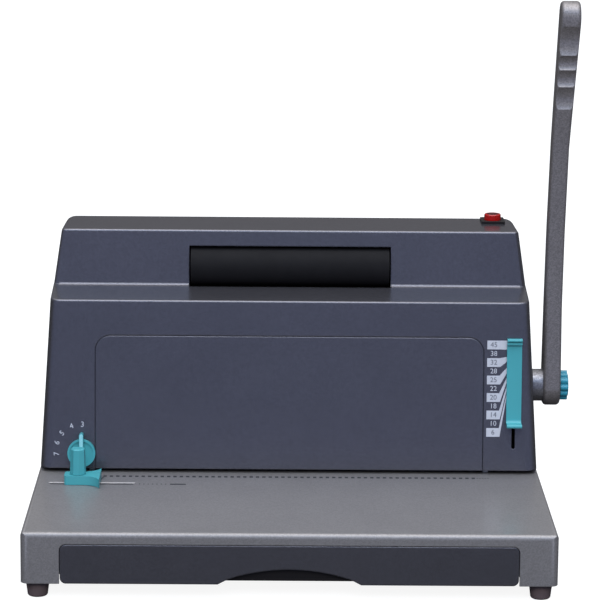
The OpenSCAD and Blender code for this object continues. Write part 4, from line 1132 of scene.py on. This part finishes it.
@dataclass
class DrawerLip:
    """Rolled lower edge of the tray's lip, seen through the drawer's finger cut-out."""

    finishes: Finishes
    half: float = 50.0
    front: float = -157.9
    back: float = -156.5
    low: float = 14.3
    top: float = 17.4
    radius: float = 0.5
    steps: int = 8

    def build(self) -> list[bpy.types.Object]:
        """Make the strip.

        Returns:
            The piece.
        """
        turns = [math.pi + math.pi * i / self.steps for i in range(self.steps + 1)]
        middle, half_t = (self.front + self.back) / 2, (self.back - self.front) / 2
        arc = [
            (middle + half_t * math.cos(a), self.low + self.radius * (1 + math.sin(a)))
            for a in turns
        ]
        outline = arc + [(self.back, self.top), (self.front, self.top)]
        mesh = extruded_mesh("drawer_lip", outline, [(-self.half, self.half)], self.steps)
        paint = self.finishes.by_slot["black_plastic"]
        return [finish_mesh("drawer_lip", mesh, paint, Body.DRAWER)]


@dataclass
class Machine:
    """Dresses the CAD nodes and adds the printing."""

    frame: dict
    finishes: Finishes
    face: Plane = field(default_factory=lambda: leaning_plane(12.0, 54.6, 5.7))
    base_top: Plane = field(default_factory=lambda: level_plane(51.4))

    def dress_nodes(self) -> None:
        """Give each CAD node its slot's finish and smooth shading."""
        smoothing = EdgeSmoothing()
        subparts = self.frame["record"]["subparts"]
        slots = {entry["node"]: entry["material_slot"] for entry in subparts}
        for name, node in self.frame["nodes"].items():
            paint = self.finishes.by_node.get(name, self.finishes.by_slot[slots[name]])
            node.data.materials.clear()
            node.data.materials.append(paint)
            smoothing.apply(node)
            LOG.info("%s: finish %s", name, paint.name)

    def build(self) -> None:
        """Dress the nodes, then make every added piece."""
        self.dress_nodes()
        GaugeScale(self.face, self.finishes).build()
        DialNumbers(self.face, self.finishes).build()
        BasePrint(self.base_top, self.finishes).build()
        LedgeFillet(self.finishes).build()
        SmallControls(self.face, self.finishes).build()
        DrawerLip(self.finishes).build()


# ---------------------------------------------------------------- studio


@dataclass
class Studio:
    """Pale floor, soft light and the camera."""

    # Focal length and width of the sensor, in mm
    focal: float = 180.0
    sensor: float = 36.0
    # Farthest that the camera sees, in metres
    reach: float = 50.0
    camera_at: Vector = field(default_factory=lambda: Vector((-14.4, -2286.9, 662.5)))
    # Directions of the camera, in degrees
    yaw: float = 0.549
    pitch: float = 11.578
    roll: float = -0.500
    floor_half: float = 12.0
    floor_tone: float = 0.25
    floor_glow: float = 0.9
    sky_strength: float = 2.0
    # Y of the directions between which the light changes from the back's to the front's
    sides: Pair = (0.2, -0.5)
    # Elevation in degrees and colour of the light that comes from there
    front_stops: Stops = (
        (-90.0, (0.025, 0.025, 0.025)),
        (-14.0, (0.042, 0.042, 0.044)),
        (-3.0, (0.104, 0.124, 0.208)),
        (7.0, (0.132, 0.156, 0.25)),
        (15.0, (0.12, 0.13, 0.17)),
        (30.0, (0.13, 0.15, 0.19)),
        (42.0, (0.20, 0.34, 0.62)),
        (58.0, (1.1, 1.18, 1.35)),
        (72.0, (2.05, 2.2, 2.45)),
        (90.0, (1.5, 1.5, 1.55)),
    )
    back_stops: Stops = (
        (-90.0, (0.02, 0.02, 0.02)),
        (-12.0, (0.03, 0.03, 0.03)),
        (0.0, (0.05, 0.05, 0.052)),
        (12.0, (0.075, 0.073, 0.078)),
        (35.0, (0.12, 0.12, 0.12)),
        (60.0, (0.6, 0.6, 0.6)),
        (90.0, (1.5, 1.5, 1.55)),
    )

    def camera(self) -> None:
        """Place the camera and make it the scene's own."""
        yaw, pitch, roll = (math.radians(a) for a in (self.yaw, self.pitch, self.roll))
        ahead = Vector((
            math.sin(yaw) * math.cos(pitch), math.cos(yaw) * math.cos(pitch), -math.sin(pitch)
        ))
        level = Vector((math.cos(yaw), -math.sin(yaw), 0.0))
        down = ahead.cross(level)
        right = level * math.cos(roll) + down * math.sin(roll)
        down = down * math.cos(roll) - level * math.sin(roll)
        lens = bpy.data.cameras.new("camera")
        lens.lens, lens.sensor_width, lens.clip_end = self.focal, self.sensor, self.reach
        camera = bpy.data.objects.new("camera", lens)
        turn = Matrix((right, -down, -ahead)).transposed().to_4x4()
        camera.matrix_world = Matrix.Translation(Frame().point(self.camera_at)) @ turn
        bpy.context.scene.collection.objects.link(camera)
        bpy.context.scene.camera = camera

    def floor(self) -> None:
        """Lay a wide plain floor under the feet."""
        mesh = bpy.data.meshes.new("floor")
        half = self.floor_half
        corners = [(-half, -half, 0), (half, -half, 0), (half, half, 0), (-half, half, 0)]
        mesh.from_pydata(corners, [], [(0, 1, 2, 3)])
        # Seamless paper sweep: matt, lit from below so that only close shade shows on it
        material, tree = new_material("pale_floor")
        tone = self.floor_tone
        shader = add_node(
            tree, "ShaderNodeBsdfPrincipled",
            {"Base Color": (tone, tone, tone, 1.0), "Roughness": 0.9, "Specular IOR Level": 0.0,
             "Emission Color": (1.0, 1.0, 1.0, 1.0), "Emission Strength": self.floor_glow},
        )
        add_node(tree, "ShaderNodeOutputMaterial", links={"Surface": (shader, "BSDF")})
        mesh.materials.append(material)
        floor = bpy.data.objects.new("floor", mesh)
        bpy.context.scene.collection.objects.link(floor)
        floor.visible_diffuse = False
        floor.visible_glossy = False

    def ramp(
        self, tree: bpy.types.NodeTree, height: bpy.types.Node, stops: Stops
    ) -> bpy.types.Node:
        """Colour by elevation.

        Args:
            tree: World's node tree.
            height: Node whose Result is the direction's height, from 0 to 1.
            stops: Elevation in degrees and colour of each stop.

        Returns:
            Ramp node.
        """
        ramp = add_node(tree, "ShaderNodeValToRGB", links={"Fac": (height, "Result")})
        elements = ramp.color_ramp.elements
        while len(elements) < len(stops):
            elements.new(1.0)
        for element, (elevation, colour) in zip(elements, stops):
            element.position = (math.sin(math.radians(elevation)) + 1) / 2
            element.color = (*colour, 1.0)
        return ramp

    def sky(self, tree: bpy.types.NodeTree) -> None:
        """Light that is bright overhead, cool and faint in front and dark elsewhere.

        Args:
            tree: World's node tree.
        """
        coords = add_node(tree, "ShaderNodeTexCoord")
        axes = add_node(tree, "ShaderNodeSeparateXYZ", links={"Vector": (coords, "Generated")})
        height = add_node(
            tree, "ShaderNodeMapRange", {"From Min": -1.0, "From Max": 1.0}, {"Value": (axes, "Z")}
        )
        ahead = add_node(
            tree, "ShaderNodeMapRange", {"From Min": self.sides[0], "From Max": self.sides[1]},
            {"Value": (axes, "Y")},
        )
        back = self.ramp(tree, height, self.back_stops)
        front = self.ramp(tree, height, self.front_stops)
        # The Mix node's colours are its inputs 6 and 7 and its output 2
        mixed = add_node(
            tree, "ShaderNodeMix",
            links={0: (ahead, "Result"), 6: (back, "Color"), 7: (front, "Color")},
            data_type="RGBA",
        )
        light = add_node(
            tree, "ShaderNodeBackground", {"Strength": self.sky_strength}, {"Color": (mixed, 2)}
        )
        add_node(tree, "ShaderNodeOutputWorld", links={"Surface": (light, "Background")})

    def light(self, name: str, place: Triple, aim: Triple, size: Pair, power: float) -> None:
        """Add a soft box that shiny faces don't mirror.

        Args:
            name: Light's name.
            place: Where it hangs, in metres.
            aim: Point it faces, in metres.
            size: Width and height, in metres.
            power: Strength in watts.
        """
        data = bpy.data.lights.new(name, "AREA")
        data.shape, data.energy = "RECTANGLE", power
        data.size, data.size_y = size
        lamp = bpy.data.objects.new(name, data)
        lamp.location = place
        lamp.rotation_euler = (Vector(aim) - Vector(place)).to_track_quat("-Z", "Y").to_euler()
        lamp.visible_glossy = False
        bpy.context.scene.collection.objects.link(lamp)

    def build(self) -> None:
        """Set up the whole studio."""
        scene = bpy.context.scene
        scene.view_settings.view_transform = "Standard"
        world = bpy.data.worlds.new("studio")
        world.use_nodes = True
        world.node_tree.nodes.clear()
        self.sky(world.node_tree)
        scene.world = world
        self.floor()
        self.camera()
        self.light("front_fill", (0.0, -2.4, 1.6), (0.0, 0.0, 0.15), size=(2.6, 1.0), power=42.0)


def main() -> None:
    """Build the studio and the machine in order."""
    logging.basicConfig(level=logging.INFO, format="%(name)s %(message)s")
    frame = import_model()
    Studio().build()
    Machine(frame, Finishes()).build()


if __name__ == "__main__":
    main()
